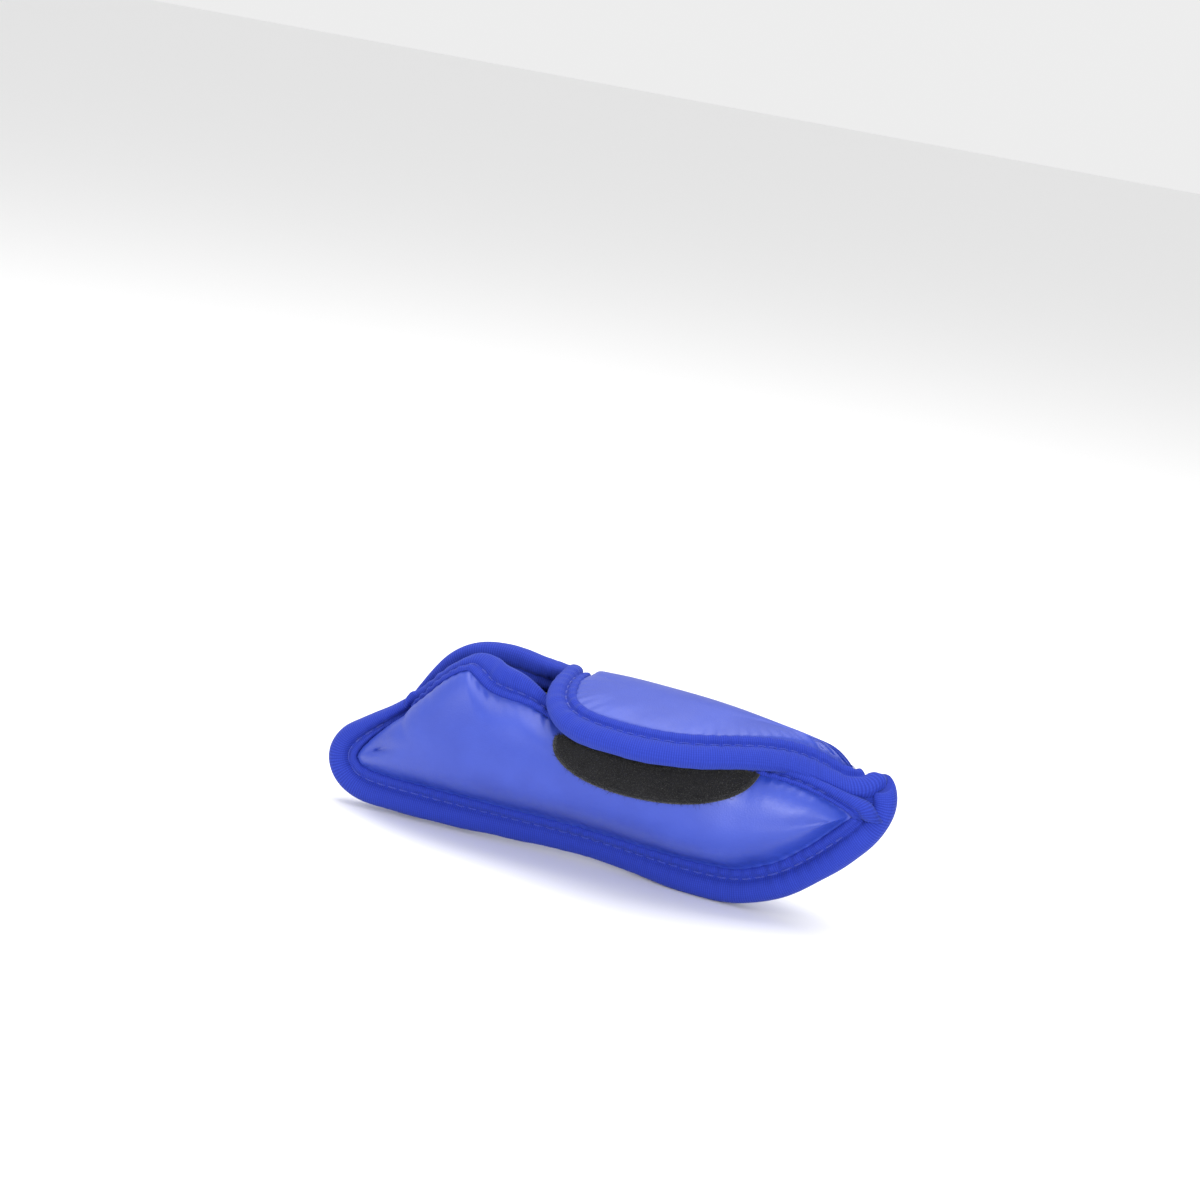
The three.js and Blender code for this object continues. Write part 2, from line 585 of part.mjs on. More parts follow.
const cover = new THREE.Group();
for (const [name, solid] of Object.entries(layers)) {
  cover.add(mesh(name, solid, MATERIAL_OF_LAYER[name.split("_")[1]]));
}
cover.add(
  mesh("perimeter_binding", tidied(perimeterTape), blueKnit),
  mesh("mouth_binding", tidied(mouthTape), blueKnit),
  mesh("neck_binding", tidied(neckTape), blueKnit),
  mesh("flap_binding", tidied(flapTape), blueKnit),
  mesh("perimeter_thread_front", stitching(seam.slice(1, -1)), blueThread),
  mesh("perimeter_thread_back", stitching(seam.slice(1, -1), -1), blueThread),
  mesh("mouth_thread", stitching(mouth.slice(1, -1)), blueThread),
  mesh("neck_thread", stitching(neck.slice(1, -1)), blueThread),
  mesh("flap_thread", stitching(flapEdge.slice(1, -1)), blueThread),
  mesh("loop_patch", loopPatch.body, blackFastener),
  mesh("loop_patch_thread", loopPatch.thread, blueThread),
  mesh("hook_patch", hookPatch.body, blackFastener),
  mesh("hook_patch_thread", hookPatch.thread, blueThread),
);
cover.position.z = -POCKET_HEIGHT;

export default cover;
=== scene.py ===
"""Visual model of a putter head cover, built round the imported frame.

Lengths are in millimetres while the shapes are worked out, measured from the sole, and turn into metres in
the row frame when a mesh is made.
"""

import math

import bmesh
import bpy
import numpy as np
from mathutils import Matrix, Vector
from mathutils.bvhtree import BVHTree


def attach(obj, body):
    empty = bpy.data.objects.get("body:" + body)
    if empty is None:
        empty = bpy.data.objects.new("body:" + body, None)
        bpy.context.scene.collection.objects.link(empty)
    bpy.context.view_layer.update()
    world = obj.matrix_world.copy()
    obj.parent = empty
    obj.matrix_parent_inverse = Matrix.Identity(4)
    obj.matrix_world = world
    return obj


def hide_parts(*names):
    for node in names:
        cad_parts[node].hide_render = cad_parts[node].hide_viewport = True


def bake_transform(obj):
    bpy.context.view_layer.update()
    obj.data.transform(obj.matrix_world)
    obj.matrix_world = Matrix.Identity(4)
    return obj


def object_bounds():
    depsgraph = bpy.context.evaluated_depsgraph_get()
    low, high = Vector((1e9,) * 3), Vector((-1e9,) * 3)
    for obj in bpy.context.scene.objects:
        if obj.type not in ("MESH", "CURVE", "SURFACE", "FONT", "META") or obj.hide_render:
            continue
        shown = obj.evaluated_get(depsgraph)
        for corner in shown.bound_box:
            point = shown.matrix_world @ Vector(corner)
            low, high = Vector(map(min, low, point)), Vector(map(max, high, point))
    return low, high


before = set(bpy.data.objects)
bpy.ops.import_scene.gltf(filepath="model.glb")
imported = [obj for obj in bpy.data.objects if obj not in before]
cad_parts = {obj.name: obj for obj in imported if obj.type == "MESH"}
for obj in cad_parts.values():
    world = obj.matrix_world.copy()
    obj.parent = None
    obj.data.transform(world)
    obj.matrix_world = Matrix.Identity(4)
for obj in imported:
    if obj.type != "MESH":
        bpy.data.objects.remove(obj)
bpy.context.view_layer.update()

# ---- Driving dimensions, in millimetres ----------------------------------------------------------

POCKET_HEIGHT = 30.0  # the row frame's origin is this far above the sole
SEAM_HALF = 2.35  # leather surface to the middle of the seam
EDGE_HALF = 1.1  # the same where one panel alone is bound
FLANGE_WIDTH = {"leather": 5.0, "padding": 1.2, "lining": 2.5}  # hidden under the tape
TAPE_WIDTH = {"perimeter": 10.6, "mouth": 9.0, "neck": 9.0, "flap": 9.4}
CRUMPLE = {"perimeter": 0.05, "mouth": 0.16, "neck": 0.1, "flap": 0.12}  # height of the tape's folds
RIB_PITCH, LOOP_PITCH = 0.6, 0.62  # of the knit, along and across the tape
FAR_SIDE = 30.0  # shifts the knit on the tape's far side
STITCH_LINE = 3.2  # from the leather's edge to the stitches
STITCH_PITCH = 3.5
BARE_END = 6  # columns at each end of a tape that have no stitches
STITCH_SEED = 1.0  # shared, so that leather, tape and thread pucker together
FULLNESS = 0.62  # squareness of the padded sections
FULL_PADDING_FROM = 0.35  # share of the way from edge to crest at which the padding is at its full depth
FULL_PADDING_REACH = 9.0  # the padding thins where edge and crest are closer than about this
MITRE_REACH = 0.3  # most that the inner layers step in at a seam, as a share of the way to the crest
MOST_TAPE_WIDTH = 1.1  # as a share of the full width
# Outer and inner depth of each layer, each as a least depth and what full padding adds to it.
LAYERS = {
    "leather": ((0.0, 0.0), (0.7, 0.0)),
    "padding": ((1.3, 0.3), (1.6, 2.0)),
    "lining": ((1.8, 2.2), (2.3, 2.4)),
}
DEEPEST = LAYERS["lining"][1]
BEND_STEP = 7.0  # how much a radian of bend adds to the length by which columns are shared out
RELAX_PASSES = 8  # smoothing of a whole skin
TUCK_PASSES = 12  # smoothing of a layer after it is pushed under the leather
TUCK_DEPTH = {"leather": None, "padding": 1.4, "lining": 1.8}
SKIN_PROBE = 2.0  # how far below the outer face its inner side is looked for

# Columns of the meshes along each stretch of edge, as multiples of the same shares on opposite edges.
HEEL_SIDE_STEPS, MOUTH_STEPS, NECK_STEPS, FOLD_STEPS = 44, 190, 84, 132
SOLE_STEPS = HEEL_SIDE_STEPS + MOUTH_STEPS
TOE_SIDE_STEPS = HEEL_SIDE_STEPS + NECK_STEPS + FOLD_STEPS - SOLE_STEPS
RINGS = np.concatenate([np.linspace(0, 0.2, 10)[:-1], np.linspace(0.2, 1, 22)])

# Edges of the panels, at the visible edge of the leather. A row is x, y, z, the tilt of the seam allowance and
# the angle at which the padded face rises, both in degrees, and the share of the tape's full width, if not all.


def rows_with(seam, rows):
    return [list(row[:5]) + [row[5] if len(row) > 5 else 1.0, seam] for row in rows]


def on_seam(rows):
    return rows_with(SEAM_HALF, rows)


def on_edge(rows):
    return rows_with(0.0, rows)


HEEL_CORNER = on_seam([[-75.8, 0, 18.4, 0, 78, 0.86]])
SOLE = on_seam([
    [-76.3, 0, 15.8, 0, 72, 0.96], [-74.2, 0, 13.9, 0, 66], [-68.5, 0, 13, 0, 64], [-52, 0, 12.9, 2, 70],
    [-28, 0, 13.4, 16, 66], [-4, 0, 13.6, 24, 62], [18, 0, 12.4, 12, 66], [30, 0, 11.9, 2, 68],
    [41.5, 0, 12.8, 0, 68], [52, 0, 17.5, 0, 68], [61, 0, 25, 0, 68],
])
HEEL_SIDE = on_seam([
    [-71.8, 0, 23.4, 0, 96, 0.62], [-66.4, 0, 28.4, 0, 108, 0.5],
])
MOUTH_HEEL = on_seam([[-61.4, 0, 32.4, 0, 112, 0.5]])
MOUTH_TOE = on_seam([[70.6, 0, 35.2, 0, 54, 0.6]])
MOUTH = on_edge([
    [-57.4, -6, 38.4, 66, 104, 0.6], [-52.4, -9, 44.6, 76, 92, 0.7], [-47.4, -11.4, 49.2, 78, 78, 0.8],
    [-43.2, -12.6, 51.4, 64, 66, 0.9], [-39.8, -13.4, 49.6, 28, 58], [-35.8, -13.9, 47.4, 14, 54],
    [-31, -14, 46.6, 10, 52], [-26.5, -14, 46.4, 15, 52, 0.9], [-21.5, -14, 45.8, 45, 54, 0.7],
    [-16, -14.6, 44, 64, 56, 0.6], [-8, -16.6, 43.2, 68, 56, 0.6], [4, -18, 43.2, 68, 56, 0.75],
    [18, -18.2, 43, 66, 56, 0.75], [31, -16.8, 43, 64, 56, 0.7], [42, -13.8, 43, 58, 60, 0.6],
    [50, -11.2, 42.4, 50, 64, 0.55], [57, -8.8, 41.2, 40, 68, 0.5], [64, -6, 38.8, 25, 72, 0.5],
])
NECK = on_edge([
    [-57.4, 6, 38.2, 0, 88, 0.7], [-51.6, 9, 44.6, 0, 78, 0.95], [-46.6, 11, 47.4, 2, 70],
    [-40, 12.2, 47.4, 4, 62], [-31, 12.6, 46, 4, 58], [-24, 12, 45.8, 6, 54],
    [-19, 11.2, 46.8, 8, 50, 0.9], [-15.2, 10.2, 49.2, 4, 48, 0.8],
])
TOE_SIDE = on_edge([[72.6, 3.6, 38.4, 0, 60, 0.9], [72, 3.8, 41.4, 0, 54, 0.85]])
FLAP_HEEL_END = on_edge([[-12.8, 5, 53.9, 4, 52, 0.8], [-12.4, 0, 54.6, 10, 56, 0.95]])
FLAP_EDGE = on_edge([
    [-11.6, -6, 54.8, 14, 62], [-10.4, -13, 53.4, 20, 68], [-7.6, -19.4, 52.2, 26, 74],
    [-1.5, -23.2, 51.2, 30, 78], [8, -24.4, 51, 30, 80], [19.5, -24, 51, 30, 80],
    [30, -20.6, 51.8, 32, 76], [40, -13.4, 53, 34, 68], [49, -5.8, 53, 38, 60],
    [57, 0, 51.2, 38, 56, 1.1],
])
FLAP_TOE_END = on_edge([[64.6, 2.8, 48.2, 26, 54, 1.1]])

# Crests of the padding, and the way each one faces.
FRONT_CREST = [
    [-68, -8.6, 21.4], [-63, -12.6, 23.6], [-57, -15.8, 25.8], [-45, -19.4, 28], [-30, -21.4, 29.3],
    [5, -23.6, 30.5], [30, -22.8, 29.8], [44, -19, 30], [53, -15.6, 30.6], [60, -12, 32.2],
    [66, -8.2, 33.8],
]
BACK_CREST = [
    [-68, 8.4, 21.4], [-63, 12.2, 23.6], [-57, 15.2, 25.8], [-45, 18.6, 28], [-30, 20.6, 29],
    [5, 22, 29.5], [30, 21.4, 28.8], [46, 18, 31], [56, 14, 34], [64, 10.4, 37.6],
]
FLAP_CREST = [
    [-5, -4.5, 56.4], [5, -7.4, 56.8], [18, -8.4, 56.9], [34, -5.6, 55.9], [46, -0.4, 54.6],
    [55, 0, 53.5],
]
FRONT_FACING = np.array([0.0, -1.0, 0.0])
BACK_FACING = np.array([0.0, 1.0, 0.0])
FLAP_FACING = np.array([0.0, -0.25, 0.97]) / math.hypot(0.25, 0.97)

# The fold between the back panel and the flap: an arc that bulges outwards from a straight chord.
FOLD_HEEL = np.array([-13.0, 9.2, 53.0])
FOLD_TOE = np.array([69.6, 4.2, 44.6])
FOLD_BULGE = 4.4
FOLD_CHORD = (FOLD_TOE - FOLD_HEEL) / np.linalg.norm(FOLD_TOE - FOLD_HEEL)
FOLD_ACROSS = np.cross([0, 0.69, 0.72], FOLD_CHORD)
FOLD_ACROSS /= np.linalg.norm(FOLD_ACROSS)
FOLD_OUTWARD = -np.cross(FOLD_ACROSS, FOLD_CHORD)
RISE_TO_FOLD = {"back": 46.0, "flap": 58.0}

LOOP_PATCH = dict(x=16.8, y=42.0, half_width=29.0, depth=11.0, top=1.8, slant=0.045)
HOOK_PATCH = dict(x=17.0, y=-14.5, half_width=18.0, depth=6.0, top=2.4, slant=0.08)
BEFORE_COVER = -60.0  # where points are dropped from, along Y onto the front and along Z into the flap
BELOW_FLAP = 30.0
FIBRE_SEED = 7


# ---- Curves --------------------------------------------------------------------------------------


def unit(v):
    return v / np.maximum(np.linalg.norm(v, axis=-1, keepdims=True), 1e-12)


def dot(a, b):
    return np.sum(a * b, axis=-1, keepdims=True)


def smoothstep(t):
    t = np.clip(t, 0, 1)
    return t * t * (3 - 2 * t)


def smooth_curve(rows, per_span=24):
    """A Catmull-Rom curve through rows of numbers, as densely sampled rows."""
    rows = np.array(rows, float)
    padded = np.vstack([rows[:1], rows, rows[-1:]])
    t = np.linspace(0, 1, per_span, endpoint=False)[:, None]
    dense = []
    for p0, p1, p2, p3 in zip(padded, padded[1:], padded[2:], padded[3:]):
        cubic = t * (3 * (p1 - p2) + p3 - p0)
        dense.append(p1 + 0.5 * t * (p2 - p0 + t * (2 * p0 - 5 * p1 + 4 * p2 - p3 + cubic)))
    return np.vstack(dense + [rows[-1:]])


def evenly(rows, count):
    """A smooth curve through rows, resampled evenly, but more closely where it bends."""
    dense = smooth_curve(rows)
    step = np.diff(dense[:, :3], axis=0)
    length = np.linalg.norm(step, axis=1)
    cosine = np.clip(np.sum(unit(step[1:]) * unit(step[:-1]), axis=1), -1, 1)
    turn = np.concatenate([[0], np.arccos(cosine)])
    reach = np.concatenate([[0], np.cumsum(length + BEND_STEP * turn)])
    want = np.linspace(0, reach[-1], count + 1)
    return np.column_stack([np.interp(want, reach, dense[:, d]) for d in range(dense.shape[1])])


def blurred(values, sigma, closed=False):
    """Rows of values averaged with their neighbours, sigma rows wide."""
    reach = int(3 * sigma)
    weights = np.exp(-0.5 * (np.arange(-reach, reach + 1) / sigma) ** 2)
    weights /= weights.sum()
    values = np.asarray(values, float)
    flat = values.reshape(len(values), -1)
    mode = "wrap" if closed else "edge"
    wide = np.pad(flat, ((reach, reach), (0, 0)), mode)
    out = np.column_stack([np.convolve(wide[:, d], weights, "valid") for d in range(flat.shape[1])])
    return out.reshape(values.shape)


def wander(t, seed):
    """A smooth wavering number from about -1 to 1 along t, with a wavelength of a few units."""
    waves = ((1.0, 1.7), (0.61, 3.9), (1.63, 0.6), (2.41, 2.2))
    return sum(math.cos(seed * k) * 0.45 * np.sin(f * t + p * seed) for k, (f, p) in enumerate(waves, 1))


# ---- Panels --------------------------------------------------------------------------------------


def on_fold(points):
    """How far along the fold points are, as a share of its chord, and how far off the fold's plane."""
    start = points - FOLD_HEEL
    return start @ FOLD_CHORD / np.linalg.norm(FOLD_TOE - FOLD_HEEL), np.abs(start @ FOLD_ACROSS)


def fold_rows(rise):
    rows = []
    for t in (0, 0.15, 0.32, 0.5, 0.68, 0.85, 1):
        point = FOLD_HEEL + t * (FOLD_TOE - FOLD_HEEL) + FOLD_OUTWARD * FOLD_BULGE * 4 * t * (1 - t)
        rows.append([*point, 0, rise, 1.0 if 0 < t < 1 else 0.9, 0.0])
    return rows


def panel_face(lower, upper, crest, facing):
    """A padded panel's edge loop: the lower stretches one way and the upper ones back, with the crest points
    that opposite columns share."""

    def edge(stretches):
        first = np.array(stretches[0][0][:1], float)
        return np.vstack([first] + [evenly(rows, count)[1:] for rows, count in stretches])

    low, high = edge(lower), edge(upper)
    steps = len(low) - 1
    loop = np.vstack([low, high[1:-1][::-1]])
    count = len(loop)
    dense = smooth_curve(crest)
    across = (low[:, 0] + high[:, 0]) / 2
    share = (across - across[0]) / (across[-1] - across[0])
    crest_x = crest[0][0] + share * (crest[-1][0] - crest[0][0])
    crest_points = np.column_stack([crest_x] + [np.interp(crest_x, dense[:, 0], dense[:, d]) for d in (1, 2)])
    partner = np.array([i if i <= steps else count - i for i in range(count)])
    top = crest_points[partner]
    points = loop[:, :3]
    along = unit(np.roll(points, -1, 0) - np.roll(points, 1, 0))
    soft = blurred(along, 2.5, closed=True)
    for corner in (0, steps):
        near = (np.arange(count) - corner + 8) % count < 17
        soft[near] = along[near]
    along = unit(soft)
    out = unit(np.cross(along, facing))
    out = np.where(dot(out, points - top) < 0, -out, out)
    tilt = np.radians(loop[:, 3:4])
    allowance = out * np.cos(tilt) - facing * np.sin(tilt)
    normal = facing * np.cos(tilt) + out * np.sin(tilt)
    share, off = on_fold(points)
    folded = (off < 0.01) & (share > 0.001) & (share < 0.999)
    ends = (off < 0.01) & (np.abs(np.abs(share - 0.5) - 0.5) < 0.001)
    allowance[ends] = np.where(share[ends, None] < 0.5, -1, 1) * FOLD_CHORD
    normal[ends] = FOLD_OUTWARD
    seam = np.clip(loop[:, 6:7], 0, SEAM_HALF)
    foot = points + normal * seam
    level = top - foot
    level -= dot(level, facing) * facing
    reach = np.linalg.norm(level, axis=1, keepdims=True)
    room = np.minimum(reach, reach[[(count - i) % count for i in range(count)]])
    step = np.linalg.norm(np.diff(points[: steps + 1], axis=0), axis=1)
    back = np.vstack([points[:1], points[steps:][::-1]])
    step_back = np.linalg.norm(np.diff(back, axis=0), axis=1)
    arc = np.zeros(count)
    arc[: steps + 1] = np.concatenate([[0], np.cumsum(step)])
    arc[steps + 1 :] = np.cumsum(step_back)[:-1][::-1]
    return dict(
        foot=foot, top=top, out=out, allowance=allowance, normal=normal, folded=folded, reach=reach,
        half=EDGE_HALF + (SEAM_HALF - EDGE_HALF) * seam / SEAM_HALF, rise=np.radians(loop[:, 4:5]),
        width=np.minimum(loop[:, 5:6], MOST_TAPE_WIDTH),
        padding=np.clip(room / FULL_PADDING_REACH - 0.15, 0.02, 1),
        arc=arc, facing=facing, steps=steps, count=count,
    )


def section(e, s, depth):
    """Points of the sections that rise from the edge to the crest, at a depth under the outer face."""
    facing = e["facing"]
    inwards = e["top"] - e["foot"]
    inwards = unit(inwards - facing * dot(inwards, facing))
    start = facing * np.sin(e["rise"]) + inwards * np.cos(e["rise"])
    rising = facing * np.cos(e["rise"]) + e["out"] * np.sin(e["rise"])
    mitre = (e["normal"] + rising) / (1 + dot(e["normal"], rising))
    sideways = mitre - facing * dot(mitre, facing)
    length = np.maximum(np.linalg.norm(sideways, axis=1, keepdims=True), 1e-9)
    most = MITRE_REACH * e["reach"] / (DEEPEST[0] + DEEPEST[1] * e["padding"])
    mitre = mitre + sideways * (np.minimum(1, most / length) - 1)
    start_point = e["foot"] - depth * np.where(e["folded"][:, None], FOLD_OUTWARD, mitre)
    end = e["top"] - facing * depth
    level = start_point - end
    height = -dot(level, facing)
    level = level + facing * height
    a, b, c, d = start_point, start_point + start * FULLNESS * height, end + level * FULLNESS * 0.9, end
    return a * (1 - s) ** 3 + 3 * b * s * (1 - s) ** 2 + 3 * c * s * s * (1 - s) + d * s**3


def sheet_rows(e, least, more, flange_width):
    """Rows of points of one sheet: the seam allowance, then the rings up to the crest."""
    folded = e["folded"][:, None]
    flange = e["foot"] - e["normal"] * least + e["allowance"] * flange_width * e["width"]
    rows = [np.where(folded, section(e, 0.0, least + more * e["padding"]), flange)]
    for s in RINGS:
        full = np.where(folded, 1.0, smoothstep(s / FULL_PADDING_FROM))
        rows.append(section(e, s, least + more * full * e["padding"]))
    return np.array(rows)


# ---- Meshes --------------------------------------------------------------------------------------


def metres(points):
    points = np.asarray(points, float)
    return (points - np.array([0, 0, POCKET_HEIGHT])) / 1000


def new_object(name, mesh, material, smooth=True):
    obj = bpy.data.objects.new(name, mesh)
    bpy.context.scene.collection.objects.link(obj)
    mesh.materials.append(material)
    if smooth:
        mesh.polygons.foreach_set("use_smooth", [True] * len(mesh.polygons))
    return obj


def outside_of(e):
    """A search tree of a panel's outer face, whose normals point outwards."""
    outer = sheet_rows(e, 0.0, 0.0, FLANGE_WIDTH["leather"])
    inner = sheet_rows(e, SKIN_PROBE, 0.0, FLANGE_WIDTH["leather"])
    rows, count = outer.shape[:2]
    flat, below = metres(outer.reshape(-1, 3)), metres(inner.reshape(-1, 3))
    quads = []
    for j in range(1, rows - 3):
        for i in range(count):
            k = (i + 1) % count
            quads.append((j * count + i, j * count + k, (j + 1) * count + k, (j + 1) * count + i))
    middle = quads[len(quads) // 4]
    across = np.cross(flat[middle[2]] - flat[middle[0]], flat[middle[3]] - flat[middle[1]])
    if across @ (flat[middle[0]] - below[middle[0]]) < 0:
        quads = [quad[::-1] for quad in quads]
    return BVHTree.FromPolygons([tuple(p) for p in flat], quads)


def relaxed(bm, passes):
    for _ in range(passes):
        bmesh.ops.smooth_vert(
            bm, verts=bm.verts, factor=0.5, use_axis_x=True, use_axis_y=True, use_axis_z=True
        )


def padded_shell(name, parts, material, lift=None, depth=None):
    """A closed skin round one or more panels. parts holds (edge, outer rows, inner rows) and lift gives, for
    an edge, how far each outer point moves along its normal. With a depth, in millimetres, the skin is first
    pushed at least that deep under the panels' outer faces, and then smoothed, which can bring it up a
    little."""
    bm = bmesh.new()
    amount = bm.verts.layers.float.new("lift")
    for e, outer, inner in parts:
        rows, count = outer.shape[:2]
        raised = lift(e, outer) if lift else np.zeros((rows, count))
        grids = []
        for points, side in ((outer, 1), (inner, -1)):
            grid = []
            for j, row in enumerate(metres(points)):
                line = []
                for i, point in enumerate(row):
                    v = bm.verts.new(point)
                    v[amount] = side * raised[j, i]
                    line.append(v)
                grid.append(line)
            grids.append(grid)
        folded = e["folded"]
        for i in range(count):
            k = (i + 1) % count
            hidden = folded[i] or folded[k]
            for grid, flip in zip(grids, (False, True)):
                for j in range(1 if hidden else 0, rows - 1):
                    quad = [grid[j][i], grid[j][k], grid[j + 1][k], grid[j + 1][i]]
                    bm.faces.new(quad[::-1] if flip else quad)
            if not hidden:
                outer_row, inner_row = grids[0][0], grids[1][0]
                bm.faces.new([outer_row[k], outer_row[i], inner_row[i], inner_row[k]])
    bmesh.ops.remove_doubles(bm, verts=bm.verts, dist=4e-6)
    bmesh.ops.dissolve_degenerate(bm, edges=bm.edges, dist=1e-6)
    loose = [v for v in bm.verts if not v.link_faces]
    bmesh.ops.delete(bm, geom=loose, context="VERTS")
    bmesh.ops.recalc_face_normals(bm, faces=bm.faces)
    if bm.calc_volume(signed=True) < 0:
        bmesh.ops.reverse_faces(bm, faces=bm.faces)
    relaxed(bm, RELAX_PASSES)
    if depth is not None:
        trees = [outside_of(e) for e, *_ in parts]
        for v in bm.verts:
            found = min((tree.find_nearest(v.co) for tree in trees), key=lambda hit: hit[3])
            if (found[0] - v.co).dot(found[1]) < depth / 1000:
                v.co = found[0] - found[1] * (depth / 1000)
        relaxed(bm, TUCK_PASSES)
    bm.normal_update()
    for v, normal in [(v, v.normal.copy()) for v in bm.verts]:
        v.co += normal * (v[amount] / 1000)
    mesh = bpy.data.meshes.new(name)
    bm.to_mesh(mesh)
    bm.free()
    return new_object(name, mesh, material)


def swept(name, sections, material, along=None, across=None):
    """A closed profile carried along a path, with flat fans over both ends. along and across go to its UV
    map."""
    count, around = sections.shape[:2]
    points = list(metres(sections.reshape(-1, 3)))
    faces = []
    for i in range(count - 1):
        for k in range(around):
            n = (k + 1) % around
            faces.append((i * around + k, i * around + n, (i + 1) * around + n, (i + 1) * around + k))
    for i, flip in ((0, True), (count - 1, False)):
        ring = [i * around + k for k in range(around)]
        faces.append(tuple(ring[::-1] if flip else ring))
    mesh = bpy.data.meshes.new(name)
    mesh.from_pydata([tuple(p) for p in points], [], faces)
    bm = bmesh.new()
    bm.from_mesh(mesh)
    caps = [f for f in bm.faces if len(f.verts) > 4]
    bmesh.ops.triangulate(bm, faces=caps)
    if bm.calc_volume(signed=True) < 0:
        bmesh.ops.reverse_faces(bm, faces=bm.faces)
    bm.to_mesh(mesh)
    bm.free()
    if along is not None:
        uv = mesh.uv_layers.new(name="tape")
        index = np.array([loop.vertex_index for loop in mesh.loops])
        values = np.column_stack([np.asarray(along)[index // around], np.asarray(across)[index % around]])
        uv.data.foreach_set("uv", values.ravel())
    return new_object(name, mesh, material)


# ---- Puckers -------------------------------------------------------------------------------------


def stitch_phase(arc, seed):
    """Phase of the stitches along an edge, which aren't quite evenly spaced. A whole turn is one stitch."""
    return 2 * math.pi * arc / STITCH_PITCH + 1.1 * wander(arc / 9, seed)


def pull(x, arc, seed):
    """How hard the stitches pucker the cloth: more towards the toe, and uneven."""
    return (0.62 + 0.55 * smoothstep((x - 5) / 60)) * (1 + 0.45 * wander(arc / 5.5, seed + 2.0))


def leather_lift(seed):
    """Puckers that spread from the seams into the leather, longer drag lines, and a slow unevenness."""

    def lift(e, rows):
        arc, x = e["arc"], e["foot"][:, 0]
        room = smoothstep(e["reach"][:, 0] / 11 - 0.25)
        strength = pull(x, arc, seed) * np.where(e["folded"], 0, 1) * room
        strength = blurred(strength, 4, closed=True)
        short = np.cos(stitch_phase(arc, seed))
        long = np.sin(2 * math.pi * arc / 13 + 1.6 * wander(arc / 11, seed + 1)) - 0.2
        raised = np.zeros(rows.shape[:2])
        distance = np.zeros(rows.shape[1])
        for j in range(1, len(rows)):
            if j > 1:
                distance = distance + np.linalg.norm(rows[j] - rows[j - 1], axis=1)
            s = RINGS[j - 1]
            fade = smoothstep((1 - s) / 0.45)
            start = smoothstep((distance + 0.9) / 1.6)
            puckers = -0.27 * short * strength * np.exp(-distance / 2.6) * start
            drags = 0.16 * long * strength * np.exp(-(((distance - 5.5) / 5.5) ** 2))
            p = rows[j]
            rising = wander(p[:, 0] / 14 + 0.6 * p[:, 2] / 9, seed + 3)
            falling = wander(p[:, 2] / 7 - p[:, 0] / 21, seed + 4)
            slow = 0.17 * (rising + falling)
            raised[j] = fade * (puckers + drags) + slow * smoothstep(distance / 7)
        return raised

    return lift


# ---- Tapes ---------------------------------------------------------------------------------------


def frames_of(e, index, half=None):
    """Sweep frames at some columns of an edge, in the middle of what the tape wraps."""
    half = e["half"][index] if half is None else np.full((len(index), 1), half)
    normal = e["normal"][index]
    return dict(
        foot=e["foot"][index] - normal * half, allowance=e["allowance"][index], normal=normal, half=half,
        width=e["width"][index], arc=e["arc"][index][:, None],
    )


def joined(*several):
    return {key: np.vstack([f[key] for f in several]) for key in several[0]}


def settled(f, sigma=3.0):
    """Frames with their turns evened out along the path."""
    f = dict(f)
    for key in ("foot", "allowance", "normal", "half", "width"):
        f[key] = np.vstack([f[key][:1], blurred(f[key], sigma)[1:-1], f[key][-1:]])
    f["allowance"] = unit(f["allowance"])
    f["normal"] = unit(f["normal"] - f["allowance"] * dot(f["normal"], f["allowance"]))
    return f


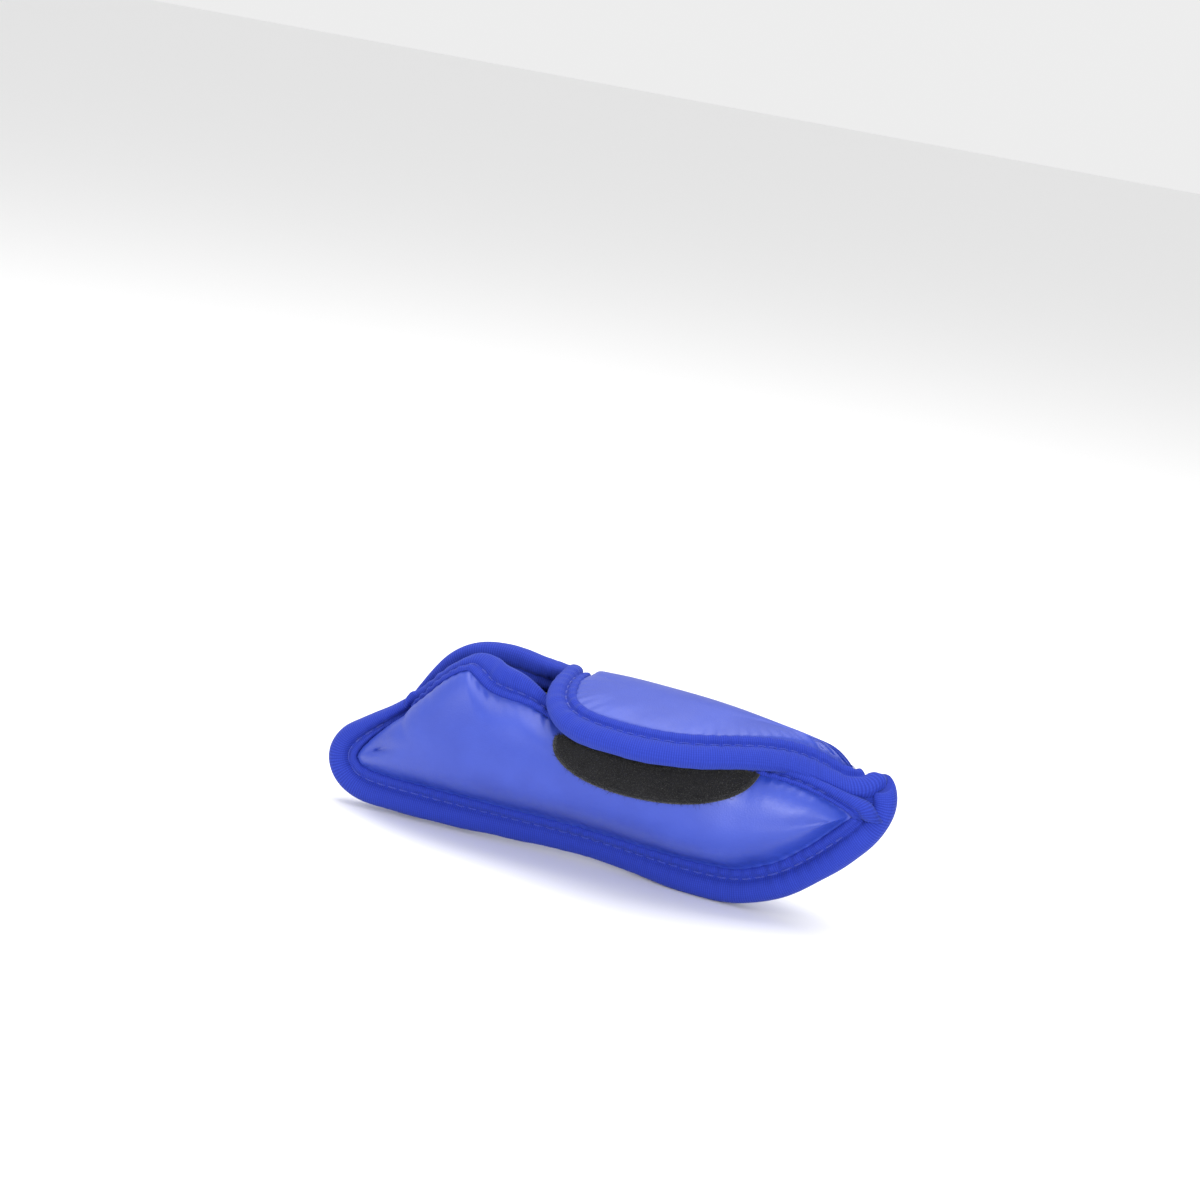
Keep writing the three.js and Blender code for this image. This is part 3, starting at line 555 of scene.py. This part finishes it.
def tape_sections(f, width, seed, crumple=0.0):
    """Sections of the knitted tape: a narrow ridge, the stitches' puckered groove and a fat rolled edge."""
    half, share, arc = f["half"], f["width"], f["arc"]
    x = f["foot"][:, :1]
    phase = stitch_phase(arc, seed)
    strength = np.clip(pull(x, arc, seed), 0.3, 2.0)
    stitched = 0.5 + 0.5 * np.cos(phase)
    uneven = wander(arc / 7, seed + 5)
    outs, ups = [], []
    ridge = np.linspace(math.radians(205), math.radians(20), 11)
    for turn in ridge:
        outs.append((1.45 + 1.3 * math.cos(turn)) + 0 * arc)
        swell = max(math.sin(turn), 0)
        pucker = swell * strength * (0.38 - 0.74 * stitched + 0.12 * uneven)
        ups.append(half + 0.35 + 0.95 * math.sin(turn) + pucker)
    outs.append(STITCH_LINE - 0.25 + 0 * arc)
    ups.append(half + 0.62 - 0.18 * strength * stitched)
    outs.append(STITCH_LINE + 0.15 + 0 * arc)
    ups.append(half + 0.62 - 0.18 * strength * stitched)
    middle = STITCH_LINE + 0.5 * (width - STITCH_LINE)
    rx, ry = 0.5 * (width - STITCH_LINE) - 0.05, half + 2.05
    for turn in np.linspace(math.radians(150), 0, 24):
        c, s = math.cos(turn), math.sin(turn)
        away = middle + rx * math.copysign(abs(c) ** 0.85, c)
        near = math.exp(-max(away - STITCH_LINE, 0) / 2.3)
        ripple = strength * near * (0.34 - 0.9 * stitched)
        folds = np.sin(2 * math.pi * arc / 6.5 + 2.2 * wander(arc / 5, seed + 6) + 0.35 * away)
        bulge = 0.17 * uneven + crumple * folds
        outs.append(away + 0.25 * wander(arc / 6, seed + 7) * abs(c) * (away > middle) + 0 * arc)
        ups.append(ry * s**0.8 + (ripple + bulge) * s**0.5)
    outer = [(o, u) for o, u in zip(outs, ups)]
    mirror = [(o, -u) for o, u in outer[::-1][1:]]
    reach = FLANGE_WIDTH["leather"] + 0.5
    inner = [(reach + 0 * arc, -half - 0.05), (reach + 0 * arc, half + 0.05)]
    profile = outer + mirror + inner
    across = np.array([
        float(np.mean(np.abs(o))) + (0 if i < len(outer) else FAR_SIDE) for i, (o, _) in enumerate(profile)
    ])
    sections = np.stack(
        [f["foot"] + f["allowance"] * share * o + f["normal"] * u for o, u in profile], axis=1
    )
    return sections, across


def tape(name, f, width, seed, material, crumple=0.0):
    sections, across = tape_sections(f, width, seed, crumple)
    step = np.linalg.norm(np.diff(f["foot"] + f["allowance"] * 4, axis=0), axis=1)
    along = np.concatenate([[0], np.cumsum(step)])
    return swept(name, sections, material, along, across)


def stitches(name, f, seed, material, side=1, radius=0.2):
    """Separate stitches in the tape's groove, each a short thread that dips into the cloth at both ends."""
    arc = f["arc"][:, 0]
    phase = stitch_phase(arc, seed)
    order = np.argsort(phase, kind="stable")
    phase = phase[order]
    rows = {k: f[k][order] for k in ("foot", "allowance", "normal", "half", "width")}
    points, faces = [], []
    first = math.ceil(phase[0] / (2 * math.pi)) + 1
    last = math.floor(phase[-1] / (2 * math.pi)) - 1
    spans, around = 6, 6
    for turn in range(first, last):
        base = len(points)
        for t in np.linspace(0.12, 0.88, spans + 1):
            want = 2 * math.pi * (turn + t)
            at = {
                k: np.array([np.interp(want, phase, v[:, d]) for d in range(v.shape[1])])
                for k, v in rows.items()
            }
            arch = math.sin(math.pi * (t - 0.12) / 0.76)
            up = at["half"][0] + 0.4 + 0.3 * arch
            r = radius * (0.55 + 0.45 * min(1, 3 * arch))
            for k in range(around):
                a = 2 * math.pi * k / around
                out = STITCH_LINE * at["width"][0] + r * math.cos(a)
                rise = at["normal"] * side * (up + r * math.sin(a))
                points.append(at["foot"] + at["allowance"] * out + rise)
        for i in range(spans):
            for k in range(around):
                n = (k + 1) % around
                a, b = base + i * around, base + (i + 1) * around
                faces.append((a + k, a + n, b + n, b + k) if side > 0 else (a + k, b + k, b + n, a + n))
        ring = [base + k for k in range(around)]
        end = [base + spans * around + k for k in range(around)]
        faces.append(tuple(ring[::-1] if side > 0 else ring))
        faces.append(tuple(end if side > 0 else end[::-1]))
    mesh = bpy.data.meshes.new(name)
    mesh.from_pydata([tuple(p) for p in metres(points)], [], faces)
    return new_object(name, mesh, material)


# ---- Patches -------------------------------------------------------------------------------------


def half_moon(spec, inset, count):
    turn = np.linspace(0, 2 * math.pi, count, endpoint=False)
    c, s = np.cos(turn), np.sin(turn)
    dx = (spec["half_width"] - inset) * np.sign(c) * np.abs(c) ** np.where(s < 0, 0.9, 0.6)
    dy = (np.where(s < 0, spec["depth"], spec["top"]) - inset) * s
    return np.column_stack([spec["x"] + dx, spec["y"] + dy + spec["slant"] * dx])


def surface_under(obj, axis, towards):
    """A function that drops 2-D points onto an object, along Y or Z, and gives where they land, in
    millimetres, and the unit normals there, which face back along the drop."""
    bm = bmesh.new()
    bm.from_mesh(obj.data)
    tree = BVHTree.FromBMesh(bm)
    bm.free()

    def drop(points, start):
        found, normals = [], []
        for a, b in points:
            if axis == "Y":
                origin, direction = Vector(metres([a, start, b])), Vector((0, towards, 0))
            else:
                origin, direction = Vector(metres([a, b, start])), Vector((0, 0, towards))
            hit, normal, _, _ = tree.ray_cast(origin, direction)
            if hit is None:
                hit, normal, _, _ = tree.find_nearest(origin)
            if normal.dot(direction) > 0:
                normal = -normal
            found.append(np.array(hit) * 1000 + np.array([0, 0, POCKET_HEIGHT]))
            normals.append(np.array(normal))
        return np.array(found), np.array(normals)

    return drop


def patch(name, spec, drop, start, near, far, material, rough):
    """A fuzzy half-moon plate that lies on a surface, from near to far off it, with a softened rim."""
    rings, count = 14, 150
    edge = half_moon(spec, 0.0, count)
    centre = edge.mean(axis=0)
    grid = [centre + (edge - centre) * r for r in np.linspace(1, 0.04, rings)]
    found, normals = drop(np.vstack(grid), start)
    normals = unit(normals)
    found, normals = found.reshape(rings, count, 3), normals.reshape(rings, count, 3)
    smooth_normals = unit(np.array([blurred(row, 4, closed=True) for row in normals]))
    top, bottom = [], []
    for j in range(rings):
        inset = j / (rings - 1)
        soft = 1 - 0.55 * math.exp(-inset * 22)
        noise = rough * np.array([
            [math.sin(12.9 * i + 4.1 * j * j) * math.cos(7.7 * j + 2.3 * i)] for i in range(count)
        ])
        top.append(found[j] + smooth_normals[j] * (near + (far - near) * soft + noise))
        bottom.append(found[j] + smooth_normals[j] * near)
    bm = bmesh.new()
    layers = [[[bm.verts.new(p) for p in metres(row)] for row in side] for side in (top, bottom)]
    for i in range(count):
        k = (i + 1) % count
        for side, flip in zip(layers, (False, True)):
            for j in range(rings - 1):
                quad = [side[j][i], side[j][k], side[j + 1][k], side[j + 1][i]]
                bm.faces.new(quad[::-1] if flip else quad)
        bm.faces.new([layers[0][0][k], layers[0][0][i], layers[1][0][i], layers[1][0][k]])
    bm.faces.new([layers[0][-1][i] for i in range(count)])
    bm.faces.new([layers[1][-1][i] for i in range(count)][::-1])
    bmesh.ops.triangulate(bm, faces=[f for f in bm.faces if len(f.verts) > 4])
    bmesh.ops.recalc_face_normals(bm, faces=bm.faces)
    mesh = bpy.data.meshes.new(name)
    bm.to_mesh(mesh)
    bm.free()
    return new_object(name, mesh, material)


def pile(name, spec, drop, start, base, length, count, material, rng, curl=0.5):
    """Short bent fibres that stand on a patch, each a thin three-sided spike."""
    outline = half_moon(spec, 0.25, 90)
    centre = outline.mean(axis=0)
    turn = rng.uniform(0, 2 * math.pi, count)
    angles = np.linspace(0, 2 * math.pi, 90, endpoint=False)
    rim = np.column_stack([np.interp(turn, angles, outline[:, d], period=2 * math.pi) for d in (0, 1)])
    spots = centre + (rim - centre) * np.sqrt(rng.uniform(0, 1, (count, 1)))
    found, normals = drop(spots, start)
    points, faces = [], []
    for root, normal in zip(found, normals):
        side = unit(np.cross(normal, rng.normal(size=3)))
        other = np.cross(normal, side)
        lean = rng.normal(size=2) * curl
        high = length * rng.uniform(0.5, 1.2)
        base_index = len(points)
        for t, radius in ((0.0, 0.05), (0.55, 0.045), (1.0, 0.02)):
            middle = root + normal * (base + high * t) + (side * lean[0] + other * lean[1]) * high * t * t
            for k in range(3):
                a = 2 * math.pi * k / 3
                points.append(middle + (side * math.cos(a) + other * math.sin(a)) * radius)
        for j in (0, 3):
            for k in range(3):
                n = (k + 1) % 3
                i = base_index + j
                faces.append((i + k, i + n, i + 3 + n, i + 3 + k))
        faces.append((base_index + 2, base_index + 1, base_index))
        faces.append((base_index + 6, base_index + 7, base_index + 8))
    mesh = bpy.data.meshes.new(name)
    mesh.from_pydata([tuple(p) for p in metres(points)], [], faces)
    return new_object(name, mesh, material, smooth=False)


def patch_stitches(name, spec, drop, start, up, material, pitch=2.6, radius=0.17):
    """A line of stitches round a patch, a little inside its rim."""
    outline = half_moon(spec, 1.3, 400)
    closed = np.vstack([outline, outline[:1]])
    reach = np.concatenate([[0], np.cumsum(np.linalg.norm(np.diff(closed, axis=0), axis=1))])
    number = int(reach[-1] / pitch)
    points, faces = [], []
    spans, around = 4, 5
    for stitch in range(number):
        ts = (stitch + np.linspace(0.14, 0.86, spans + 1)) * reach[-1] / number
        spots = np.column_stack([np.interp(ts, reach, closed[:, d]) for d in (0, 1)])
        found, normals = drop(spots, start)
        tangent = unit(np.gradient(found, axis=0))
        side = unit(np.cross(tangent, normals))
        base = len(points)
        for i, (p, n, o) in enumerate(zip(found, normals, side)):
            arch = math.sin(math.pi * i / spans)
            for k in range(around):
                a = 2 * math.pi * k / around
                high = up - 0.25 + 0.3 * arch + radius * math.sin(a)
                points.append(p + n * high + o * radius * math.cos(a))
        for i in range(spans):
            for k in range(around):
                m = (k + 1) % around
                a, b = base + i * around, base + (i + 1) * around
                faces.append((a + k, a + m, b + m, b + k))
        faces.append(tuple(base + k for k in range(around))[::-1])
        faces.append(tuple(base + spans * around + k for k in range(around)))
    mesh = bpy.data.meshes.new(name)
    mesh.from_pydata([tuple(p) for p in metres(points)], [], faces)
    bm = bmesh.new()
    bm.from_mesh(mesh)
    bmesh.ops.recalc_face_normals(bm, faces=bm.faces)
    bm.to_mesh(mesh)
    bm.free()
    return new_object(name, mesh, material)


# ---- Materials -----------------------------------------------------------------------------------


class Shader:
    """A Principled material with a few helpers for its node tree."""

    def __init__(self, name, color, roughness, **plain):
        self.material = bpy.data.materials.new(name)
        self.material.use_nodes = True
        self.tree = self.material.node_tree
        self.surface = self.tree.nodes["Principled BSDF"]
        self.surface.inputs["Base Color"].default_value = (*color, 1)
        self.surface.inputs["Roughness"].default_value = roughness
        for socket, value in plain.items():
            self.surface.inputs[socket.replace("_", " ")].default_value = value

    def node(self, kind, **settings):
        made = self.tree.nodes.new(kind)
        for key, value in settings.items():
            if key in made.inputs:
                made.inputs[key].default_value = value
            else:
                setattr(made, key, value)
        return made

    def link(self, out, into):
        self.tree.links.new(out, into)

    def noise(self, scale, detail=3.0, rough=0.5):
        where = self.node("ShaderNodeTexCoord")
        made = self.node("ShaderNodeTexNoise", Scale=scale, Detail=detail, Roughness=rough)
        self.link(where.outputs["Object"], made.inputs["Vector"])
        return made.outputs["Fac"]

    def cells(self, scale):
        where = self.node("ShaderNodeTexCoord")
        made = self.node("ShaderNodeTexVoronoi", Scale=scale)
        self.link(where.outputs["Object"], made.inputs["Vector"])
        return made.outputs["Distance"]

    def math(self, operation, a, b):
        made = self.node("ShaderNodeMath", operation=operation)
        for socket, value in zip(made.inputs, (a, b)):
            if isinstance(value, (int, float)):
                socket.default_value = value
            else:
                self.link(value, socket)
        return made.outputs[0]

    def ramp(self, value, low, high, dark, light):
        made = self.node("ShaderNodeValToRGB")
        made.color_ramp.elements[0].position = low
        made.color_ramp.elements[1].position = high
        made.color_ramp.elements[0].color = (*dark, 1)
        made.color_ramp.elements[1].color = (*light, 1)
        self.link(value, made.inputs["Fac"])
        return made.outputs["Color"]

    def color(self, value, low, high, dark, light):
        self.link(self.ramp(value, low, high, dark, light), self.surface.inputs["Base Color"])

    def roughness(self, value, low, high):
        made = self.node("ShaderNodeMapRange")
        made.inputs["To Min"].default_value = low
        made.inputs["To Max"].default_value = high
        self.link(value, made.inputs["Value"])
        self.link(made.outputs["Result"], self.surface.inputs["Roughness"])

    def bump(self, value, strength, distance):
        made = self.node("ShaderNodeBump", Strength=strength, Distance=distance)
        self.link(value, made.inputs["Height"])
        self.link(made.outputs["Normal"], self.surface.inputs["Normal"])


def leather_material():
    m = Shader(
        "blue_leather", (0.02, 0.05, 0.37), 0.44,
        Specular_IOR_Level=0.5, Coat_Weight=0.12, Coat_Roughness=0.35,
    )
    grain = m.math("ADD", m.math("MULTIPLY", m.cells(2100), 0.7), m.math("MULTIPLY", m.noise(5200, 2.0), 0.5))
    m.color(m.noise(60, 4.0, 0.6), 0.3, 0.72, (0.016, 0.042, 0.34), (0.024, 0.056, 0.4))
    m.roughness(m.noise(420, 3.0), 0.38, 0.52)
    m.bump(grain, 0.22, 0.0002)
    return m.material


def knit_material():
    m = Shader(
        "knit_tape", (0.03, 0.07, 0.5), 0.82,
        Specular_IOR_Level=0.3, Sheen_Weight=0.12, Sheen_Roughness=0.45,
    )
    m.surface.inputs["Sheen Tint"].default_value = (0.35, 0.5, 1.0, 1)
    uv = m.node("ShaderNodeUVMap", uv_map="tape")
    parts = m.node("ShaderNodeSeparateXYZ")
    m.link(uv.outputs["UV"], parts.inputs["Vector"])
    wobble = m.math("MULTIPLY", m.noise(700, 2.0), 1.5)
    turns_along = m.math("MULTIPLY", parts.outputs["X"], 2 * math.pi / RIB_PITCH)
    ribs = m.math("SINE", m.math("ADD", turns_along, wobble), 0)
    loops = m.math("SINE", m.math("MULTIPLY", parts.outputs["Y"], 2 * math.pi / LOOP_PITCH), 0)
    knit = m.math("ADD", m.math("MULTIPLY", ribs, 0.5), m.math("MULTIPLY", loops, 0.16))
    knit = m.math("ADD", knit, m.math("MULTIPLY", m.noise(3000, 3.0), 0.6))
    m.color(knit, -0.35, 0.95, (0.009, 0.024, 0.28), (0.018, 0.044, 0.4))
    m.bump(knit, 0.35, 0.00018)
    return m.material


def soft_material(name, dark, light, scale, distance, sheen):
    m = Shader(name, light, 0.95, Specular_IOR_Level=0.2, Sheen_Weight=sheen, Sheen_Roughness=0.5)
    fibres = m.noise(scale, 5.0, 0.7)
    m.color(fibres, 0.3, 0.7, dark, light)
    m.bump(fibres, 0.7, distance)
    return m.material


def thread_material():
    m = Shader("sewing_thread", (0.03, 0.07, 0.5), 0.6, Specular_IOR_Level=0.4, Sheen_Weight=0.2)
    m.color(m.noise(2600, 2.0), 0.35, 0.65, (0.012, 0.03, 0.3), (0.022, 0.052, 0.42))
    return m.material


LEATHER = leather_material()
KNIT = knit_material()
FLEECE = soft_material("fleece", (0.012, 0.03, 0.2), (0.03, 0.07, 0.4), 1500, 0.0006, 0.5)
PADDING = soft_material("padding", (0.6, 0.6, 0.56), (0.78, 0.78, 0.74), 900, 0.0004, 0.1)
THREAD = thread_material()
BLACK_THREAD = Shader("black_thread", (0.012, 0.012, 0.014), 0.7).material
PILE = soft_material("hook_and_loop", (0.004, 0.004, 0.005), (0.014, 0.014, 0.016), 2600, 0.0004, 0.25)

# ---- The head cover ------------------------------------------------------------------------------

sole = ([*HEEL_CORNER, *SOLE, [*MOUTH_TOE[0][:5], 1.0, SEAM_HALF]], SOLE_STEPS)
back_sole = ([[x, y, z, -tilt, *rest] for x, y, z, tilt, *rest in sole[0]], SOLE_STEPS)
heel_side = ([*HEEL_CORNER, *HEEL_SIDE, *MOUTH_HEEL], HEEL_SIDE_STEPS)
back_fold, flap_fold = fold_rows(RISE_TO_FOLD["back"]), fold_rows(RISE_TO_FOLD["flap"])
front = panel_face(
    [sole],
    [heel_side, ([*MOUTH_HEEL, *MOUTH, *MOUTH_TOE], MOUTH_STEPS)],
    FRONT_CREST,
    FRONT_FACING,
)
back = panel_face(
    [back_sole, ([*MOUTH_TOE, *TOE_SIDE, back_fold[-1]], TOE_SIDE_STEPS)],
    [heel_side, ([*MOUTH_HEEL, *NECK, back_fold[0]], NECK_STEPS), (back_fold, FOLD_STEPS)],
    BACK_CREST,
    BACK_FACING,
)
flap = panel_face(
    [([flap_fold[0], *FLAP_HEEL_END, *FLAP_EDGE, *FLAP_TOE_END, flap_fold[-1]], FOLD_STEPS)],
    [(flap_fold, FOLD_STEPS)],
    FLAP_CREST,
    FLAP_FACING,
)


def stands_for(nodes):
    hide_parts(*nodes)


def on_shell(obj, slot, *nodes):
    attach(obj, "shell")
    stands_for(nodes)


def across_fold(obj, slot, *nodes):
    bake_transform(obj)
    stands_for(nodes)


def on_flap(obj, slot, *nodes):
    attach(obj, "flap")
    stands_for(nodes)


def sheets(e, kind):
    return tuple(sheet_rows(e, *depth, FLANGE_WIDTH[kind]) for depth in LAYERS[kind])


skins = {}
for kind, material, slot, node, lift in (
    ("leather", LEATHER, "blue_leather", "panel", leather_lift(STITCH_SEED)),
    ("padding", PADDING, "padding", "foam", None),
    ("lining", FLEECE, "fleece", "lining", None),
):
    depth = TUCK_DEPTH[kind]
    single = padded_shell(f"front_{kind}", [(front, *sheets(front, kind))], material, lift, depth)
    back_and_flap = [(back, *sheets(back, kind)), (flap, *sheets(flap, kind))]
    double = padded_shell(f"back_and_flap_{kind}", back_and_flap, material, lift, depth)
    skins[kind] = single, double
    on_shell(single, slot, f"front_{node}")
    across_fold(double, slot, f"back_{node}", f"flap_{node}")


def columns(first, last):
    return np.arange(first, last + 1)


def upper_columns(e):
    return -np.arange(e["steps"] + 1) % e["count"]


upper, back_upper = upper_columns(front), upper_columns(back)
heel_part = frames_of(front, upper[1 : HEEL_SIDE_STEPS + 1][::-1])
heel_part["arc"] = -heel_part["arc"]
neck_part = frames_of(back, back_upper[HEEL_SIDE_STEPS : HEEL_SIDE_STEPS + NECK_STEPS + 1], EDGE_HALF)
flap_part = frames_of(flap, columns(0, FOLD_STEPS), EDGE_HALF)
toe_part = frames_of(back, columns(SOLE_STEPS, back["steps"]))
back_edge = settled(joined(neck_part, flap_part, {k: v[::-1] for k, v in toe_part.items()}), 7.0)
neck_end = NECK_STEPS + 1
flap_end = neck_end + FOLD_STEPS + 1
toe_part = {k: v[flap_end:][::-1] for k, v in back_edge.items()}
toe_part["normal"] = -toe_part["normal"]
perimeter = joined(heel_part, frames_of(front, columns(0, SOLE_STEPS - 1)), toe_part)
tapes = {
    "perimeter": settled(perimeter),
    "mouth": settled(frames_of(front, upper[HEEL_SIDE_STEPS:], EDGE_HALF)),
    "neck": {k: v[:neck_end] for k, v in back_edge.items()},
    "flap": {k: v[neck_end:flap_end] for k, v in back_edge.items()},
}
for name, f in tapes.items():
    tape_object = tape(f"{name}_tape", f, TAPE_WIDTH[name], STITCH_SEED, KNIT, CRUMPLE[name])
    inner = {k: v[BARE_END:-BARE_END] for k, v in f.items()}
    if name == "flap":
        across_fold(tape_object, "knit_tape", "flap_binding")
        across_fold(stitches("flap_stitches", inner, STITCH_SEED, THREAD), "sewing_thread", "flap_thread")
    else:
        on_shell(tape_object, "knit_tape", f"{name}_binding")
        if name == "perimeter":
            sewn = {k: v[: HEEL_SIDE_STEPS + SOLE_STEPS - 4] for k, v in inner.items()}
            for side, word in ((1, "front"), (-1, "back")):
                thread = stitches(f"perimeter_stitches_{word}", sewn, STITCH_SEED, THREAD, side)
                on_shell(thread, "sewing_thread", f"perimeter_thread_{word}")
        else:
            thread = stitches(f"{name}_stitches", inner, STITCH_SEED, THREAD)
            on_shell(thread, "sewing_thread", f"{name}_thread")

rng = np.random.default_rng(FIBRE_SEED)
on_leather = surface_under(skins["leather"][0], "Y", 1)
plate = patch("loop_patch", LOOP_PATCH, on_leather, BEFORE_COVER, 0.05, 0.95, PILE, 0.05)
on_shell(plate, "hook_and_loop", "loop_patch")
fuzz = pile("loop_pile", LOOP_PATCH, on_leather, BEFORE_COVER, 0.7, 0.9, 7000, PILE, rng, 0.9)
on_shell(fuzz, "hook_and_loop", "loop_patch")
sewn = patch_stitches("loop_patch_stitches", LOOP_PATCH, on_leather, BEFORE_COVER, 1.05, BLACK_THREAD)
on_shell(sewn, "black_thread", "loop_patch_thread")
in_flap = surface_under(skins["lining"][1], "Z", 1)
plate = patch("hook_patch", HOOK_PATCH, in_flap, BELOW_FLAP, 0.05, 0.85, PILE, 0.03)
on_flap(plate, "hook_and_loop", "hook_patch")
hooks = pile("hooks", HOOK_PATCH, in_flap, BELOW_FLAP, 0.8, 0.55, 1500, PILE, rng, 0.3)
on_flap(hooks, "hook_and_loop", "hook_patch")
sewn = patch_stitches("hook_patch_stitches", HOOK_PATCH, in_flap, BELOW_FLAP, 0.95, BLACK_THREAD)
on_flap(sewn, "black_thread", "hook_patch_thread")

# ---- Stage ---------------------------------------------------------------------------------------


def look_rotation(back_axis, up):
    right = np.cross(up, back_axis)
    right /= np.linalg.norm(right)
    up = np.cross(back_axis, right)
    return Matrix(np.column_stack([right, up, back_axis]).tolist()).to_4x4()


FLOOR_REACH = 4.0  # in metres, as the rest of the stage
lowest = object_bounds()[0][2]
floor_mesh = bpy.data.meshes.new("floor")
floor_corners = [(x * FLOOR_REACH, y * FLOOR_REACH, lowest) for x, y in ((-1, -1), (1, -1), (1, 1), (-1, 1))]
floor_mesh.from_pydata(floor_corners, [], [(0, 1, 2, 3)])
floor = new_object("floor", floor_mesh, Shader("floor", (0.9, 0.9, 0.9), 0.8).material, smooth=False)


def area_light(name, place, target, width, power):
    data = bpy.data.lights.new(name, "AREA")
    data.size = width
    data.energy = power
    obj = bpy.data.objects.new(name, data)
    bpy.context.scene.collection.objects.link(obj)
    away = np.array(place, float) - np.array(target, float)
    away /= np.linalg.norm(away)
    obj.matrix_world = Matrix.Translation(place) @ look_rotation(away, np.array([0.1, 0.2, 1.0]))


area_light("overhead", (-0.1, 0.1, 0.9), (0, 0, 0), 0.9, 8.0)
area_light("front_left", (-0.75, -0.8, 0.5), (0, 0, 0), 0.6, 3.5)
area_light("low_right", (0.42, -0.62, 0.2), (0.04, 0, 0), 0.2, 3.2)
world = bpy.data.worlds.new("studio")
bpy.context.scene.world = world
world.use_nodes = True
world.node_tree.nodes["Background"].inputs["Color"].default_value = (1, 1, 1, 1)
world.node_tree.nodes["Background"].inputs["Strength"].default_value = 0.85

YAW, ELEVATION, ROLL, DISTANCE = math.radians(18.5), math.radians(12), math.radians(9.5), 0.9
back_axis = np.array([
    math.sin(YAW) * math.cos(ELEVATION), -math.cos(YAW) * math.cos(ELEVATION), math.sin(ELEVATION)
])
right = np.array([math.cos(YAW), math.sin(YAW), 0])
up = np.cross(back_axis, right)
up, right = up * math.cos(ROLL) - right * math.sin(ROLL), right * math.cos(ROLL) + up * math.sin(ROLL)
aim = metres([2.0, 0.0, 30.4]) + up * 0.0485 - right * 0.0056
camera_data = bpy.data.cameras.new("camera")
camera_data.lens = 95.7
camera_data.sensor_width = 36
camera_data.clip_start = 0.02
camera = bpy.data.objects.new("camera", camera_data)
bpy.context.scene.collection.objects.link(camera)
camera.matrix_world = Matrix.Translation(aim + back_axis * DISTANCE) @ Matrix(
    np.column_stack([right, up, back_axis]).tolist()
).to_4x4()
bpy.context.scene.camera = camera
bpy.context.scene.view_settings.view_transform = "Standard"
